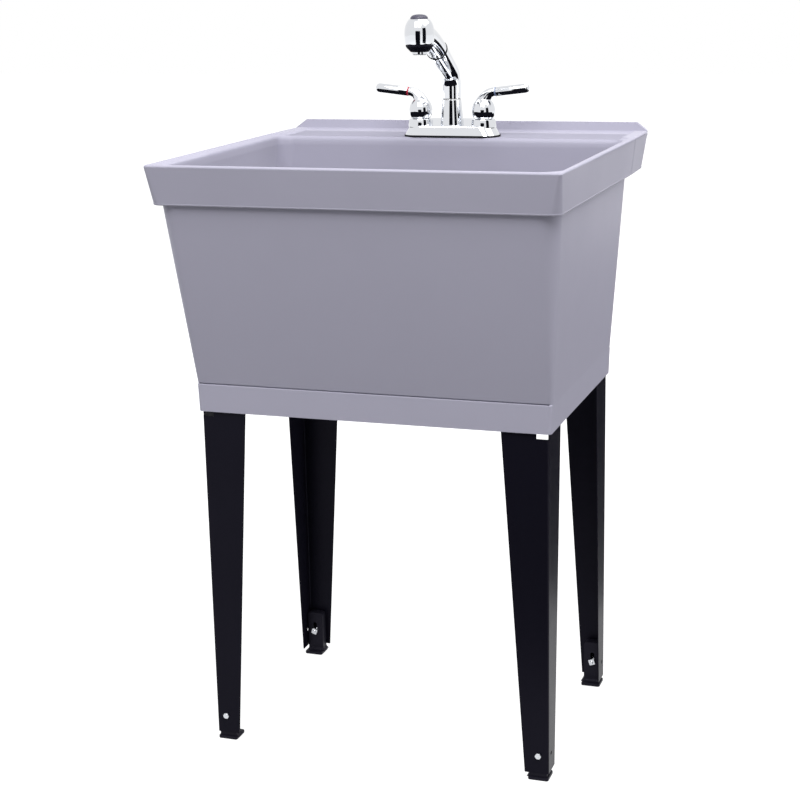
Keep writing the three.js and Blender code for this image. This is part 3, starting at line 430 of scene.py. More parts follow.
def ranged(tree, value, low, high, to_low, to_high):
    inputs = {"Value": value, "From Min": low, "From Max": high, "To Min": to_low}
    return node(tree, "MapRange", {**inputs, "To Max": to_high}).outputs["Result"]


def maths(tree, operation, first, second):
    return result(tree, "Math", {0: first, 1: second}, operation=operation)


def surface_group():
    """Fine grain for bump and gloss, and a broad slow change of tone."""
    inputs = ("Grain Scale", "Tone Scale", "Tone Change", "Roughness", "Roughness Change")
    outputs = ("Tone", "Roughness", "Grain")
    tree, given, wanted = group("surface", "ShaderNodeTree", inputs, outputs)
    place = node(tree, "TexCoord").outputs["Object"]
    grain = noise(tree, place, given["Grain Scale"], 3, 0.6)
    broad = noise(tree, place, given["Tone Scale"], 4, 0.55)
    up, down = ranged(tree, broad, 0.3, 0.7, -1, 1), ranged(tree, broad, 0.3, 0.7, 1, -1)
    swing = maths(tree, "MULTIPLY", up, given["Tone Change"])
    tree.links.new(maths(tree, "ADD", swing, 1), wanted["Tone"])
    swing = maths(tree, "MULTIPLY", down, given["Roughness Change"])
    tree.links.new(maths(tree, "ADD", swing, given["Roughness"]), wanted["Roughness"])
    tree.links.new(grain, wanted["Grain"])
    return tree


def streak_group():
    """Fine lines round or along a piece, as drawing and turning leave on metal."""
    inputs = (("Across", "Vector"), "Strength")
    tree, given, wanted = group("streaks", "ShaderNodeTree", inputs, ["Lines"])
    place = node(tree, "TexCoord").outputs["Object"]
    inputs = {0: place, 1: given["Across"]}
    stretched = result(tree, "VectorMath", inputs, operation="MULTIPLY")
    lines = ranged(tree, noise(tree, stretched, 1, 2, 0.7), 0.3, 0.7, 0, 1)
    tree.links.new(maths(tree, "MULTIPLY", lines, given["Strength"]), wanted["Lines"])
    return tree


def speck_group():
    """Small round specks, such as dust in a coat of paint or dried drops on a polished piece."""
    tree, given, wanted = group("specks", "ShaderNodeTree", ("Scale", "Size", "Strength"), ["Mask"])
    place = node(tree, "TexCoord").outputs["Object"]
    cells = node(tree, "TexVoronoi", {"Vector": place, "Scale": given["Scale"]})
    chance = result(tree, "SeparateColor", {"Color": cells.outputs["Color"]})
    reach = maths(tree, "MULTIPLY", chance, given["Size"])
    depth = maths(tree, "SUBTRACT", reach, cells.outputs["Distance"])
    mask = ranged(tree, depth, 0, 0.03, 0, 1)
    tree.links.new(maths(tree, "MULTIPLY", mask, given["Strength"]), wanted["Mask"])
    return tree


SURFACE = surface_group()
STREAKS = streak_group()
SPECKS = speck_group()


def placed_group(tree, kind, **values):
    made = tree.nodes.new("ShaderNodeGroup")
    made.node_tree = kind
    for name, value in values.items():
        made.inputs[name.replace("_", " ").title()].default_value = value
    return made.outputs


def material(name, code, roughness, metallic=0, tone=0.03, change=0.05, grain=900, bump=0.1,
             depth=0.0001, tone_scale=5, streaks=None, specks=None, **plain):
    """A Principled surface whose tone, gloss and relief come from the shared groups."""
    made = bpy.data.materials.new(name)
    made.use_nodes = True
    tree = made.node_tree
    shader = tree.nodes["Principled BSDF"]
    shader.inputs["Metallic"].default_value = metallic
    for title, value in plain.items():
        shader.inputs[title.replace("_", " ")].default_value = value
    base = placed_group(tree, SURFACE, grain_scale=grain, tone_scale=tone_scale, tone_change=tone,
                        roughness=roughness, roughness_change=change)
    rough, relief = base["Roughness"], base["Grain"]
    if streaks:
        lines = placed_group(tree, STREAKS, across=streaks[0], strength=streaks[1])["Lines"]
        rough = maths(tree, "ADD", rough, lines)
        relief = maths(tree, "ADD", relief, lines)
    if specks:
        scale, size, strength = specks
        mask = placed_group(tree, SPECKS, scale=scale, size=size, strength=strength)["Mask"]
        rough = maths(tree, "ADD", rough, mask)
        relief = maths(tree, "ADD", relief, mask)
    inputs = {0: colour(code), "Scale": base["Tone"]}
    shade = result(tree, "VectorMath", inputs, operation="SCALE")
    tree.links.new(shade, shader.inputs["Base Color"])
    tree.links.new(rough, shader.inputs["Roughness"])
    inputs = {"Strength": bump, "Distance": depth, "Height": relief}
    tree.links.new(result(tree, "Bump", inputs), shader.inputs["Normal"])
    return made


BLUE_SHEEN = (0.82, 0.79, 1, 1)
MATERIALS = {
    "tub_plastic": material(
        "moulded_grey_plastic", "a19fae", 0.42, tone=0.02, grain=700, bump=0.12, depth=0.0002,
        tone_scale=3.5, specks=(160, 0.1, 0.05), Specular_IOR_Level=0.08),
    "black_steel": material(
        "black_powder_coat", "0f0e17", 0.36, tone=0.08, grain=1300, bump=0.35, depth=0.0002,
        specks=(220, 0.08, 0.1), Specular_IOR_Level=0.08, Specular_Tint=BLUE_SHEEN),
    "black_plastic": material(
        "black_moulded_plastic", "15141c", 0.5, tone=0.1, grain=1600, bump=0.25,
        Specular_IOR_Level=0.15, Specular_Tint=BLUE_SHEEN),
    "soft_touch": material("soft_touch_blue_grey", "3b3949", 0.4, tone=0.04, grain=1600, bump=0.04),
    "zinc": material(
        "zinc_plate", "c9cbd0", 0.3, 0.9, tone=0.05, tone_scale=60, bump=0.15,
        streaks=((300, 300, 4000), 0.1)),
    "chrome": material(
        "polished_chrome", "dfe1e5", 0.05, 1, tone=0.015, change=0.02, grain=260, bump=0.015,
        specks=(140, 0.1, 0.05)),
    "brass": material(
        "turned_brass", "b8934a", 0.3, 1, tone=0.06, tone_scale=40, bump=0.2,
        streaks=((60, 60, 3500), 0.12)),
    "rubber": material(
        "black_rubber", "0e0e12", 0.7, tone=0.12, grain=1100, bump=0.3, Specular_IOR_Level=0.2),
    "white_plastic": material(
        "white_moulded_plastic", "e9e9e6", 0.42, tone=0.02, grain=1000, bump=0.12),
    "hot_red": material("red_moulded_plastic", "c8203f", 0.35, tone=0.04, grain=1500),
    "cold_blue": material("blue_grey_moulded_plastic", "7f8fb0", 0.35, tone=0.04, grain=1500),
}


def fitted(piece, place, body, slot, nodes, edge=0, steps=2, angle=32, look=None):
    """Takes a finished piece to its place, and gives it its surface, softened edges and body."""
    if place is not None:
        moved(piece, place)
    limit = radians(angle)
    piece.data.materials.clear()
    piece.data.materials.append(MATERIALS[look or slot])
    piece.data.shade_smooth()
    if edge:
        bevel = piece.modifiers.new("softened_edges", "BEVEL")
        bevel.width = edge * MM
        bevel.segments = steps
        bevel.limit_method = "ANGLE"
        bevel.angle_limit = limit
        bevel.use_clamp_overlap = True
        even = piece.modifiers.new("even_shading", "WEIGHTED_NORMAL")
        even.keep_sharp = True
    else:
        piece.data.set_sharp_from_angle(angle=limit)
    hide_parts(*nodes)
    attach(piece, body)
    return piece


# ---- Tub


def band_outline(z, inset):
    fall = max(0, min(1, (RIM_Z - z) / (RIM_Z - BAND_FOOT)))
    front = HALF_WIDTH - BAND_SIDE_DRAFT * fall - inset
    middle = HALF_WIDTH + RIM_BOW - BAND_REAR_DRAFT * fall - inset
    back = HALF_WIDTH - BAND_REAR_DRAFT * fall - inset
    y0 = FRONT_Y + BAND_FRONT_DRAFT * fall + inset
    y1 = BACK_Y - BAND_BACK_DRAFT * fall - inset
    front_radius = max(5 + 9 * fall - inset, 1)
    back_radius = max(9 - inset, 1)
    crease = ((0, -5, 3), (0.9, 0, 1.5), (0, 5, 3))
    crease = [(middle - dx, BOWL_BACK_Y + dy, radius) for dx, dy, radius in crease]
    corners = [(-front, y0, front_radius), (front, y0, front_radius), *crease]
    corners += [(back, y1, back_radius), (-back, y1, back_radius)]
    corners += [(-x, y, radius) for x, y, radius in reversed(crease)]
    return rounded(corners)


def trapezium(front, back, y0, y1, radius):
    corners = (-front, y0), (front, y0), (back, y1), (-back, y1)
    return rounded([(x, y, radius) for x, y in corners])


def bowl_outline(z, inset, radius):
    fall = max((BAND_FOOT - z) / (BAND_FOOT - SKIRT_TOP), 0)
    front = BOWL_HALF - SIDE_TAPER * fall - inset
    back = BOWL_REAR_HALF - REAR_TAPER * fall - inset
    y0 = BOWL_FRONT_Y + FRONT_TAPER * fall + inset
    y1 = BOWL_BACK_Y + WALL - BACK_TAPER * fall - inset
    return trapezium(front, back, y0, y1, radius)


def skirt_outline(z, inset):
    fall = max(0, min(1, (SKIRT_TOP - z) / (SKIRT_TOP - SKIRT_FOOT)))
    front = BOWL_HALF - SIDE_TAPER - SKIRT_DRAFT * fall - inset
    back = BOWL_REAR_HALF - REAR_TAPER - SKIRT_DRAFT * fall - inset
    radius = max(BOWL_FOOT_RADIUS - inset, 1)
    return trapezium(front, back, SKIRT_FRONT_Y + inset, SKIRT_BACK_Y - inset, radius)


def arc_steps(count):
    return [pi / 2 * k / count for k in range(count + 1)]


def rounded_rim(outline, top, radius, steps):
    """Rings that round a top edge over."""
    rings = []
    for a in arc_steps(steps):
        rings.append(at(outline(top, radius * (1 - cos(a))), top - radius * (1 - sin(a))))
    return rings


def band_piece():
    bead = [(0.9, 0), (0.2, 0.25), (-0.35, 0.9), (-0.5, 1.6), (-0.3, 2.5), (0, 3.4)]
    rings = [at(band_outline(BAND_FOOT + z, inset), BAND_FOOT + z) for inset, z in bead]
    rings += rounded_rim(band_outline, RIM_Z, RIM_EDGE, 6)
    top = RIM_Z - WALL
    low = at(band_outline(BAND_FOOT, BAND_WALL), BAND_FOOT - 1)
    return cut(loft("band", rings), loft("hollow", [low, at(band_outline(top, BAND_WALL), top)]))


def deck_piece():
    low = DECK_Z - WALL
    half = HALF_WIDTH - SIDE_LEDGE + WALL
    slab = block("deck", -half, half, BOWL_BACK_Y, BACK_Y, low, RIM_Z - 1)
    outline = band_outline(low, 1)
    return shared(slab, loft("trim", [at(outline, low - 1), at(outline, RIM_Z)]))


def bowl_outside():
    levels = [(UNDERSIDE, BOWL_FOOT_RADIUS), (SKIRT_TOP, BOWL_FOOT_RADIUS)]
    levels += [(BAND_FOOT, BOWL_TOP_RADIUS), (RIM_Z - WALL + 1, BOWL_TOP_RADIUS)]
    return loft("bowl", [at(bowl_outline(z, 0, r), z) for z, r in levels])


def bowl_inside():
    """The space in the bowl, from its dished floor up to the rounded edge of the mouth."""
    rings = [[(0, DRAIN_Y, FLOOR_Z - FLOOR_FALL)]]
    for a in reversed(arc_steps(9)[1:]):
        z = FLOOR_Z + FLOOR_FILLET * (1 - sin(a))
        rings.append(at(bowl_outline(z, WALL + FLOOR_FILLET * (1 - cos(a)), INNER_RADIUS), z))
    for z in (FLOOR_Z + FLOOR_FILLET, BAND_FOOT):
        rings.append(at(bowl_outline(z, WALL, INNER_RADIUS), z))
    side = HALF_WIDTH - SIDE_LEDGE
    # Rise above the deck, way out at the sides and front, and way back at the wall side
    lip = [(-14, 0, 0), (-7, 0.2, 0.8), (-3.2, 0.5, 2.4), (-1.2, 1.2, 4.4), (-0.1, 2.4, 5.4)]
    lip += [(0.6, 4, 6.4), (1.6, 7, 8.6), (2.8, 10.2, 10.8), (3.7, 12.2, 12.4), (4.6, 13.4, 13.5)]
    for rise, out, back in flowing(lip, 2):
        half = side + out
        y0, y1 = FRONT_Y + FRONT_LEDGE - out, BOWL_BACK_Y + back
        outline = rectangle(-half, half, y0, y1, INNER_RADIUS + out)
        rings.append(at(outline, DECK_Z + rise))
    return loft("bowl_space", rings)


def upstand_face(rise):
    """Where the upstand's face is, so far above the deck: it leans back."""
    return BACK_Y - UPSTAND_THICKNESS - UPSTAND_TOE + UPSTAND_LEAN * rise


def upstand_piece():
    low = DECK_Z - WALL + 1
    top = RIM_Z + UPSTAND_RISE
    face = [(-HALF_WIDTH, low), (HALF_WIDTH, low), (HALF_WIDTH, RIM_Z)]
    tip = HALF_WIDTH - UPSTAND_INSET
    face += [(tip, top), (-tip, top), (-HALF_WIDTH, RIM_Z)]
    rows = [[(x, upstand_face(z - DECK_Z), z) for x, z in face], [(x, BACK_Y, z) for x, z in face]]
    outline = band_outline(RIM_Z, 0)
    return shared(loft("upstand", rows), loft("trim", [at(outline, low - 1), at(outline, top + 1)]))


def sockets():
    """Ribs inside the skirt that hold each leg in its corner."""
    ribs = []
    inner = STEEL + GAP
    reach, thick = (LEG_BEND, LEG_TOP + 4), (inner, inner + SOCKET_RIB)
    for sx, sy, x, y in CORNERS.values():
        for (ax0, ax1), (ay0, ay1) in ((thick, reach), (reach, thick)):
            xs = sorted((x + sx * ax0, x + sx * ax1))
            ys = sorted((y + sy * ay0, y + sy * ay1))
            ribs.append(block("rib", *xs, *ys, SKIRT_FOOT + 6, UNDERSIDE + 1))
    return ribs


def skirt_piece():
    rings = [at(skirt_outline(SKIRT_FOOT, 0), SKIRT_FOOT)]
    rings += rounded_rim(skirt_outline, SKIRT_TOP, SKIRT_EDGE, 4)
    low = at(skirt_outline(SKIRT_FOOT, SKIRT_WALL), SKIRT_FOOT - 1)
    high = at(skirt_outline(UNDERSIDE, SKIRT_WALL), UNDERSIDE)
    return joined(cut(loft("skirt", rings), loft("skirt_space", [low, high])), *sockets())


def deck_recess():
    """The sunk deck, with a cove along the foot of the upstand."""
    half = HALF_WIDTH - SIDE_LEDGE
    rings = []
    for inset, cove, z in [(8, 5.5, 0), (7.3, 3.6, 0.4), (6.2, 2, 1.3), (4, 0.8, 2.7), (0, 0, 5)]:
        y1 = upstand_face(z) - cove
        rings.append(at(rectangle(inset - half, half - inset, BOWL_BACK_Y - 20, y1, 5), DECK_Z + z))
    return loft("recess", rings)


def skirt_shadow_line():
    """The groove that lies dark between the front panel and the skirt, and ends at the corners."""
    half = BOWL_HALF - SIDE_TAPER - 0.7 * BOWL_FOOT_RADIUS
    front, back = SKIRT_FRONT_Y + LINE_LIP, BOWL_FRONT_Y + FRONT_TAPER + LINE_DEPTH
    return block("line", -half, half, front, back, SKIRT_TOP - LINE_BELOW, SKIRT_TOP + LINE_ABOVE)


def make_tub():
    tub = joined(band_piece(), deck_piece(), bowl_outside(), upstand_piece(), skirt_piece())
    holes = [rod("hole", radius, DECK_Z - 14, RIM_Z, 48, x, TAP_Y) for x, radius in
             ((-HOLE_SPACING, VALVE_HOLE), (0, HOSE_HOLE), (HOLE_SPACING, VALVE_HOLE))]
    for radius, foot in ((DRAIN_SEAT_RADIUS, DRAIN_SEAT - GAP), (DRAIN_HOLE, UNDERSIDE - 1)):
        holes.append(rod("drain", radius, foot, FLOOR_Z + 1, 64, 0, DRAIN_Y))
    cut(tub, bowl_inside(), deck_recess(), skirt_shadow_line(), *holes)
    tub.name = "tub_moulding"
    fitted(tub, None, "sink", "tub_plastic", ["tub"], edge=0.7, steps=3, angle=38)
    tub.visible_glossy = False


make_tub()

# ---- Shapes that repeat


def growing(name, inputs):
    """Starts a Geometry Nodes tree that adds repeated shapes to the piece it is put on."""
    shape = "Geometry", "Geometry"
    return group(name, "GeometryNodeTree", [shape, *inputs, ("Material", "Material")], [shape])


def end_growing(tree, given, wanted, added, height):
    """Lifts the added shapes and joins them to the piece as real mesh in one material."""
    lifted = {"Geometry": added, "Translation": vector(tree, z=height)}
    both = node(tree, "JoinGeometry")
    tree.links.new(given["Geometry"], both.inputs[0])
    tree.links.new(result(tree, "Transform", lifted), both.inputs[0])
    real = result(tree, "RealizeInstances", {"Geometry": both.outputs[0]})
    painted = result(tree, "SetMaterial", {"Geometry": real, "Material": given["Material"]})
    tree.links.new(painted, wanted["Geometry"])
    return tree


def vector(tree, x=0, y=0, z=0):
    return result(tree, "CombineXYZ", {"X": x, "Y": y, "Z": z})


def thread_tree():
    """A screw thread: a diamond section that follows a spiral up the Z axis."""
    sockets = "Crest Radius", "Ridge", "Pitch", "Length", "Foot"
    tree, given, wanted = growing("screw_thread", sockets)
    turns = maths(tree, "DIVIDE", given["Length"], given["Pitch"])
    depth = maths(tree, "MULTIPLY", given["Ridge"], 2)
    radius = maths(tree, "SUBTRACT", given["Crest Radius"], depth)
    sizes = {"Resolution": 40, "Rotations": turns, "Start Radius": radius, "End Radius": radius,
             "Height": given["Length"]}
    spiral = result(tree, "CurveSpiral", sizes)
    level = result(tree, "SetCurveNormal", {"Curve": spiral}, mode="Z_UP")
    section = result(tree, "CurvePrimitiveCircle", {"Resolution": 4, "Radius": 1})
    spread = vector(tree, depth, maths(tree, "MULTIPLY", given["Pitch"], 0.45), 1)
    diamond = result(tree, "Transform", {"Geometry": section, "Scale": spread})
    inputs = {"Curve": level, "Profile Curve": diamond, "Fill Caps": True}
    ridge = result(tree, "CurveToMesh", inputs)
    return end_growing(tree, given, wanted, ridge, given["Foot"])


def ring_tree():
    """Pegs or ribs spaced evenly round the Z axis, leaning out by an angle."""
    sockets = ("Count", "Int"), ("Sides", "Int"), "Circle Radius", "Peg Radius", "Length"
    tree, given, wanted = growing("pegs_round_an_axis", (*sockets, "Height", "Lean"))
    inputs = {"Vertices": given["Count"], "Radius": given["Circle Radius"]}
    places = result(tree, "MeshCircle", inputs)
    inputs = {"Vertices": given["Sides"], "Radius": given["Peg Radius"], "Depth": given["Length"]}
    peg = result(tree, "MeshCylinder", inputs)
    index = result(tree, "InputIndex")
    step = maths(tree, "DIVIDE", 2 * pi, given["Count"])
    turn = vector(tree, 0, given["Lean"], maths(tree, "MULTIPLY", index, step))
    inputs = {"Points": places, "Instance": peg, "Rotation": turn}
    pegs = result(tree, "InstanceOnPoints", inputs)
    return end_growing(tree, given, wanted, pegs, given["Height"])


THREAD = thread_tree()
PEGS = ring_tree()
NOT_LENGTHS = ("Count", "Sides", "Lean")


def grown(piece, tree, slot, **sizes):
    """Runs a tree on a piece and keeps the result as its plain mesh. Sizes are in millimetres."""
    step = piece.modifiers.new(tree.name, "NODES")
    step.node_group = tree
    items = tree.interface.items_tree
    sockets = {item.name: item.identifier for item in items if item.in_out == "INPUT"}
    for name, value in sizes.items():
        title = name.replace("_", " ").title()
        step[sockets[title]] = value if title in NOT_LENGTHS else value * MM
    step[sockets["Material"]] = MATERIALS[slot]
    return cleaned(settle(piece))


def threaded(piece, slot, crest, foot, top, pitch, ridge=0.25):
    return grown(piece, THREAD, slot, crest_radius=crest, ridge=ridge, pitch=pitch,
                 length=top - foot, foot=foot)


def with_pegs(piece, slot, count, circle_radius, peg_radius, z0, z1, sides=8, lean=0.0):
    return grown(piece, PEGS, slot, count=count, sides=sides, circle_radius=circle_radius,
                 peg_radius=peg_radius, length=z1 - z0, height=(z0 + z1) / 2, lean=lean)


# ---- Legs and levelling feet

TO_X = Matrix.Rotation(pi / 2, 4, "Y")
TO_Y = Matrix.Rotation(-pi / 2, 4, "X")


def square(low, high):
    return [(low, low), (high, low), (high, high), (low, high)]


def leg_shape():
    top = UNDERSIDE - GAP
    bend = [pi * (1 + k / 16) for k in range(9)]
    sides = []
    for reach, turns in ((LEG_BEND - STEEL, bend[::-1]), (LEG_BEND, bend)):
        sides.append([(LEG_BEND + reach * cos(a), LEG_BEND + reach * sin(a)) for a in turns])
    outline = [(LEG_TOP, 0), (LEG_TOP, STEEL), *sides[0], (STEEL, LEG_TOP), (0, LEG_TOP), *sides[1]]
    leg = loft("leg", [at(outline, LEG_BOTTOM), at(outline, top)])
    taper = [at(square(-1, LEG_FOOT), LEG_BOTTOM - 1), at(square(-1, LEG_TOP), top + 1)]
    shared(leg, loft("taper", taper))
    relief = block("relief", -1, 17.5, -1, 3, SKIRT_FOOT - 8.2, SKIRT_FOOT + 3.8)
    ways = shift(BOLT_INSET, 0, BOLT_Z) @ TO_Y, shift(0, BOLT_INSET, BOLT_Z) @ TO_X
    holes = [moved(rod("hole", BOLT_HOLE, -4, 4), way) for way in ways]
    return cut(leg, relief, *holes)


def foot_shape():
    """A slotted column that flares into a square pad."""
    x0, x1, y0, y1 = LEG_BEND, LEG_BEND + FOOT_WIDTH, STEEL + GAP, STEEL + GAP + FOOT_DEPTH
    corner = [(x1 - 6 + 6 * cos(a), FOOT_TOP - 6 + 6 * sin(a)) for a in arc_steps(8)]
    side = [(x0, 0), (x1, 0), *corner, (x0 + 2, FOOT_TOP), (x0, FOOT_TOP - 2)]
    column = loft("column", [[(x, y, z) for x, z in side] for y in (y0, y1)])
    levels = [(0.8, 0), (0.25, 0.25), (0, 0.8), (0, 3.8), (0.3, 4.5), (1, 4.8)]
    pad = loft("pad", [at(rectangle(0.5 + d, 30.5 - d, d - 1, 29 - d, 3), z) for d, z in levels])
    levels = [(4, -1), (3.6, 0.1), (2.2, 0.9), (1.2, 2), (0.5, 4), (0, 6), (-0.5, 7)]
    flare = loft("flare", [at(rectangle(x0, x1 + d, y0, y1 + d, 0.5), 4.8 + z) for d, z in levels])
    radius, ends = 3.2, []
    for k in range(32):
        a = pi * (2 * k + 1) / 32
        middle = BOLT_Z + (15 - radius if k < 16 else radius - 5.5)
        ends.append((BOLT_INSET + radius * cos(a), middle + radius * sin(a)))
    slot = loft("slot", [[(x, y, z) for x, z in ends] for y in (y0 - 1, y1 + 1)])
    return cut(joined(column, flare, pad), slot)


def bolt_shape():
    head = loft("head", [circle(4.62, z, 6) for z in (-3.3, -0.3)])
    shared(head, turned("chamfer", [(3.7, -3.4), (4.7, -2.6), (4.7, 0)]))
    shank = turned("shank", [(2.28, -0.5), (2.28, BOLT_LENGTH - 0.9), (1.8, BOLT_LENGTH - 0.4)])
    return threaded(joined(head, shank), "zinc", 2.5, 6, BOLT_LENGTH - 0.9, 0.8, 0.22)


def square_nut_shape():
    nut = block("nut", -4.5, 4.5, -4.5, 4.5, 0, 4)
    shared(nut, turned("chamfer", [(7, -1), (7, 3), (5.2, 4.3)]))
    return cut(nut, rod("bore", 2.65, -1, 5))


def make_corners():
    shapes = leg_shape(), foot_shape(), bolt_shape(), square_nut_shape()
    titles = "_pressed_leg", "_levelling_foot", "_hex_bolt", "_square_nut"
    bolt_place = shift(BOLT_INSET, 0, BOLT_Z) @ TO_Y
    nut_place = shift(BOLT_INSET, STEEL + FOOT_DEPTH + 2 * GAP, BOLT_Z)
    nut_place = nut_place @ Matrix.Rotation(NUT_TURN, 4, "Y") @ TO_Y
    for side, (sx, sy, x, y) in CORNERS.items():
        corner = shift(x, y, 0) @ Matrix.Diagonal((sx, sy, 1, 1))
        leg, foot, bolt, nut = (
            in_scene(side + title, shape.data.copy()) for shape, title in zip(shapes, titles))
        fitted(leg, corner, "sink", "black_steel", ["leg_" + side], edge=0.3)
        fitted(foot, corner, side + "_foot", "black_plastic", ["foot_" + side], edge=0.5)
        fitted(bolt, corner @ bolt_place, "sink", "zinc", ["foot_bolt_" + side])
        fitted(nut, corner @ nut_place, "sink", "zinc", ["foot_nut_" + side], edge=0.2)
    for shape in shapes:
        bpy.data.objects.remove(shape)


make_corners()

# ---- Drain


def make_drain():
    place = shift(0, DRAIN_Y, 0)
    rim = [(23.75, DRAIN_FOOT), (23.75, 533), (24, 533.3), (24, DRAIN_SEAT), (38, DRAIN_SEAT)]
    rim += [(38, DRAIN_SEAT + 1.2), (37.5, DRAIN_TOP - 0.5), (36, DRAIN_TOP)]
    body = turned("drain_with_strainer", rim, 96)
    cup = [(20, STRAINER_Z + 3), (20, 541.8), (20.8, 543), (22.5, 544)]
    cup += [(25.2, DRAIN_TOP), (28.6, DRAIN_TOP + 1)]
    holes = in_scene("holes", bpy.data.meshes.new("holes"))
    with_pegs(holes, "chrome", 6, 12.5, 4.2, STRAINER_Z - 1, STRAINER_Z + 4, 32)
    cut(body, turned("cup", cup, 96), rod("tube", 20, DRAIN_FOOT - 1, STRAINER_Z, 96), holes)
    threaded(body, "white_plastic", 24, DRAIN_FOOT + 1.5, 532, 3)
    fitted(body, place, "sink", "white_plastic", ["drain_body"])

    top = UNDERSIDE - GAP
    seal = collar("drain_rubber", DRAIN_CLEAR, 37, top - 3, top, 96, edge=0.6)
    fitted(seal, place, "sink", "rubber", ["drain_gasket"])

    top = UNDERSIDE - 3 - 2 * GAP
    nut = collar("drain_locking_nut", DRAIN_CLEAR, 33, top - 9, top, 96, edge=0.5)
    turns = (Matrix.Rotation(pi / 2 * k, 4, "Z") for k in range(4))
    lugs = [moved(block("lug", 31.5, 38.5, -4.5, 4.5, top - 9, top), turn) for turn in turns]
    fitted(joined(nut, *lugs), place, "sink", "white_plastic", ["drain_locknut"], edge=0.6)

    shelf = DRAIN_FOOT - 5 - 2 * GAP
    nut = loft("octagonal_slip_nut", [circle(32.47, shelf + z, 8) for z in (-3, 21)])
    outline = above(shelf, [(30.4, -3), (32.6, -1), (32.6, 19), (30.4, 21)])
    shared(nut, turned("outline", outline))
    throat = rod("throat", 19.3, shelf - 4, shelf + 1, 96)
    cut(nut, rod("bore", DRAIN_CLEAR, shelf, shelf + 22, 96), throat)
    with_pegs(nut, "white_plastic", 8, 32, 0.45, shelf + 1, shelf + 17)
    fitted(nut, place, "sink", "white_plastic", ["slip_nut"], edge=0.5)

    top = DRAIN_FOOT - GAP
    tail = turned("tail_tube", above(top, [(19, -24), (19, -5), (23.5, -5), (23.5, 0)]), 96)
    cut(tail, rod("bore", 17, top - 25, top + 1, 96))
    fitted(tail, place, "sink", "white_plastic", ["tailpiece"], edge=0.4)

    cone = above(DRAIN_TOP, [(0, -11), (16.6, -11), (17.2, -10.6), (19.7, -5.5)])
    knob = [(19.7, 0), (29.2, 0), (29.2, 0.7), (28.5, 1.9), (14, 2.4), (6.4, 2.9), (4.6, 4)]
    knob += [(4, 5.6), (4, 8.6), (5, 10), (7.5, 11.6), (8, 12.6), (8, 14), (7.3, 15.2)]
    knob += [(5.6, 15.7), (0, 15.7)]
    plug = turned("rubber_stopper", cone + above(DRAIN_TOP + GAP, knob), 64)
    fitted(plug, place, "stopper", "rubber", ["drain_plug"], edge=0.3)


make_drain()

# ---- Tap base, and what goes through the deck

TAP = shift(0, TAP_Y, DECK_Z)
DOCK = TAP @ shift(0, -SPOUT_REACH, DOCK_HEIGHT) @ Matrix.Rotation(pi / 2 - SPOUT_ANGLE, 4, "X")
SPRAY = TAP @ shift(0, -SPRAY_REACH, 0)


def plate(shrink_x, shrink_y, radius):
    half_x, half_y = PLATE_HALF_X - shrink_x, PLATE_HALF_Y - shrink_y
    return rectangle(-half_x, half_x, -half_y, half_y, radius, 16)


def plate_top(point, drop=0):
    """The plate's top slopes up towards the wall."""
    return PLATE_FOOT + 14.4 + 9.6 * (point[1] + 20) / 40 - drop


def make_tap_base():
    rings = [at(plate(0, 0, 21), PLATE_FOOT), at(plate(0.1, 0.05, 21), PLATE_FOOT + 0.6)]
    for a in arc_steps(6):
        inset, drop = 1.6 * (1 - cos(a)) - 0.8, 1.6 * (1 - sin(a))
        outline = plate(10 + inset, 4 + inset, 18 - inset)
        rings.append(at(outline, lambda p: plate_top(p, drop)))
    body = loft("tap_base_casting", rings)
    low = [at(plate(3, 3, 18), PLATE_FOOT - 1), at(plate(13, 7, 15), lambda p: plate_top(p, 3))]
    cut(body, loft("hollow", low))
    foot = PLATE_FOOT + 12.4
    seat = above(foot, [(19.6, 0), (19.5, 3), (19.2, 5.5), (18.7, 9)])
    seat += [(18.2, HUB_SEAT - 0.6), (17.8, HUB_SEAT)]
    seats = [turned("seat", seat, 96, side * HOLE_SPACING) for side in (-1, 1)]
    cone = above(foot, [(19.2, 0), (18.6, 3), (18.2, 5)])
    cone += [(14.8, SWIVEL_SEAT - 0.4), (14.5, SWIVEL_SEAT)]
    joined(body, *seats, turned("pillar", cone, 96))
    bores = [rod("bore", 9.2, foot - 5, HUB_SEAT + 1, 48, side * HOLE_SPACING) for side in (-1, 1)]
    cut(body, *bores, rod("bore", 11.2, foot - 5, SWIVEL_SEAT + 1, 48))
    fitted(body, TAP, "sink", "chrome", ["tap_base"], edge=0.8, steps=3)

    bead = [(-0.9, 0.3), (-1.4, 0.6), (-1.4, 2.4), (-1.1, 2.8), (-0.5, 2.8)]
    bead += [(-0.3, 2.5), (-0.3, 1.8)]
    pad = loft("tap_base_rubber", [at(plate(d, d, 21 - d), z) for d, z in bead])
    cut(pad, *(rod("hole", 12.5, -1, 3, 48, side * HOLE_SPACING) for side in (-1, 0, 1)))
    fitted(pad, TAP, "sink", "rubber", ["tap_gasket"])
    ring = collar("swivel_ring", 11.2, 13.8, SWIVEL_SEAT + GAP, SPOUT_FOOT - GAP)
    fitted(ring, TAP, "sink", "white_plastic", ["swivel_washer"])


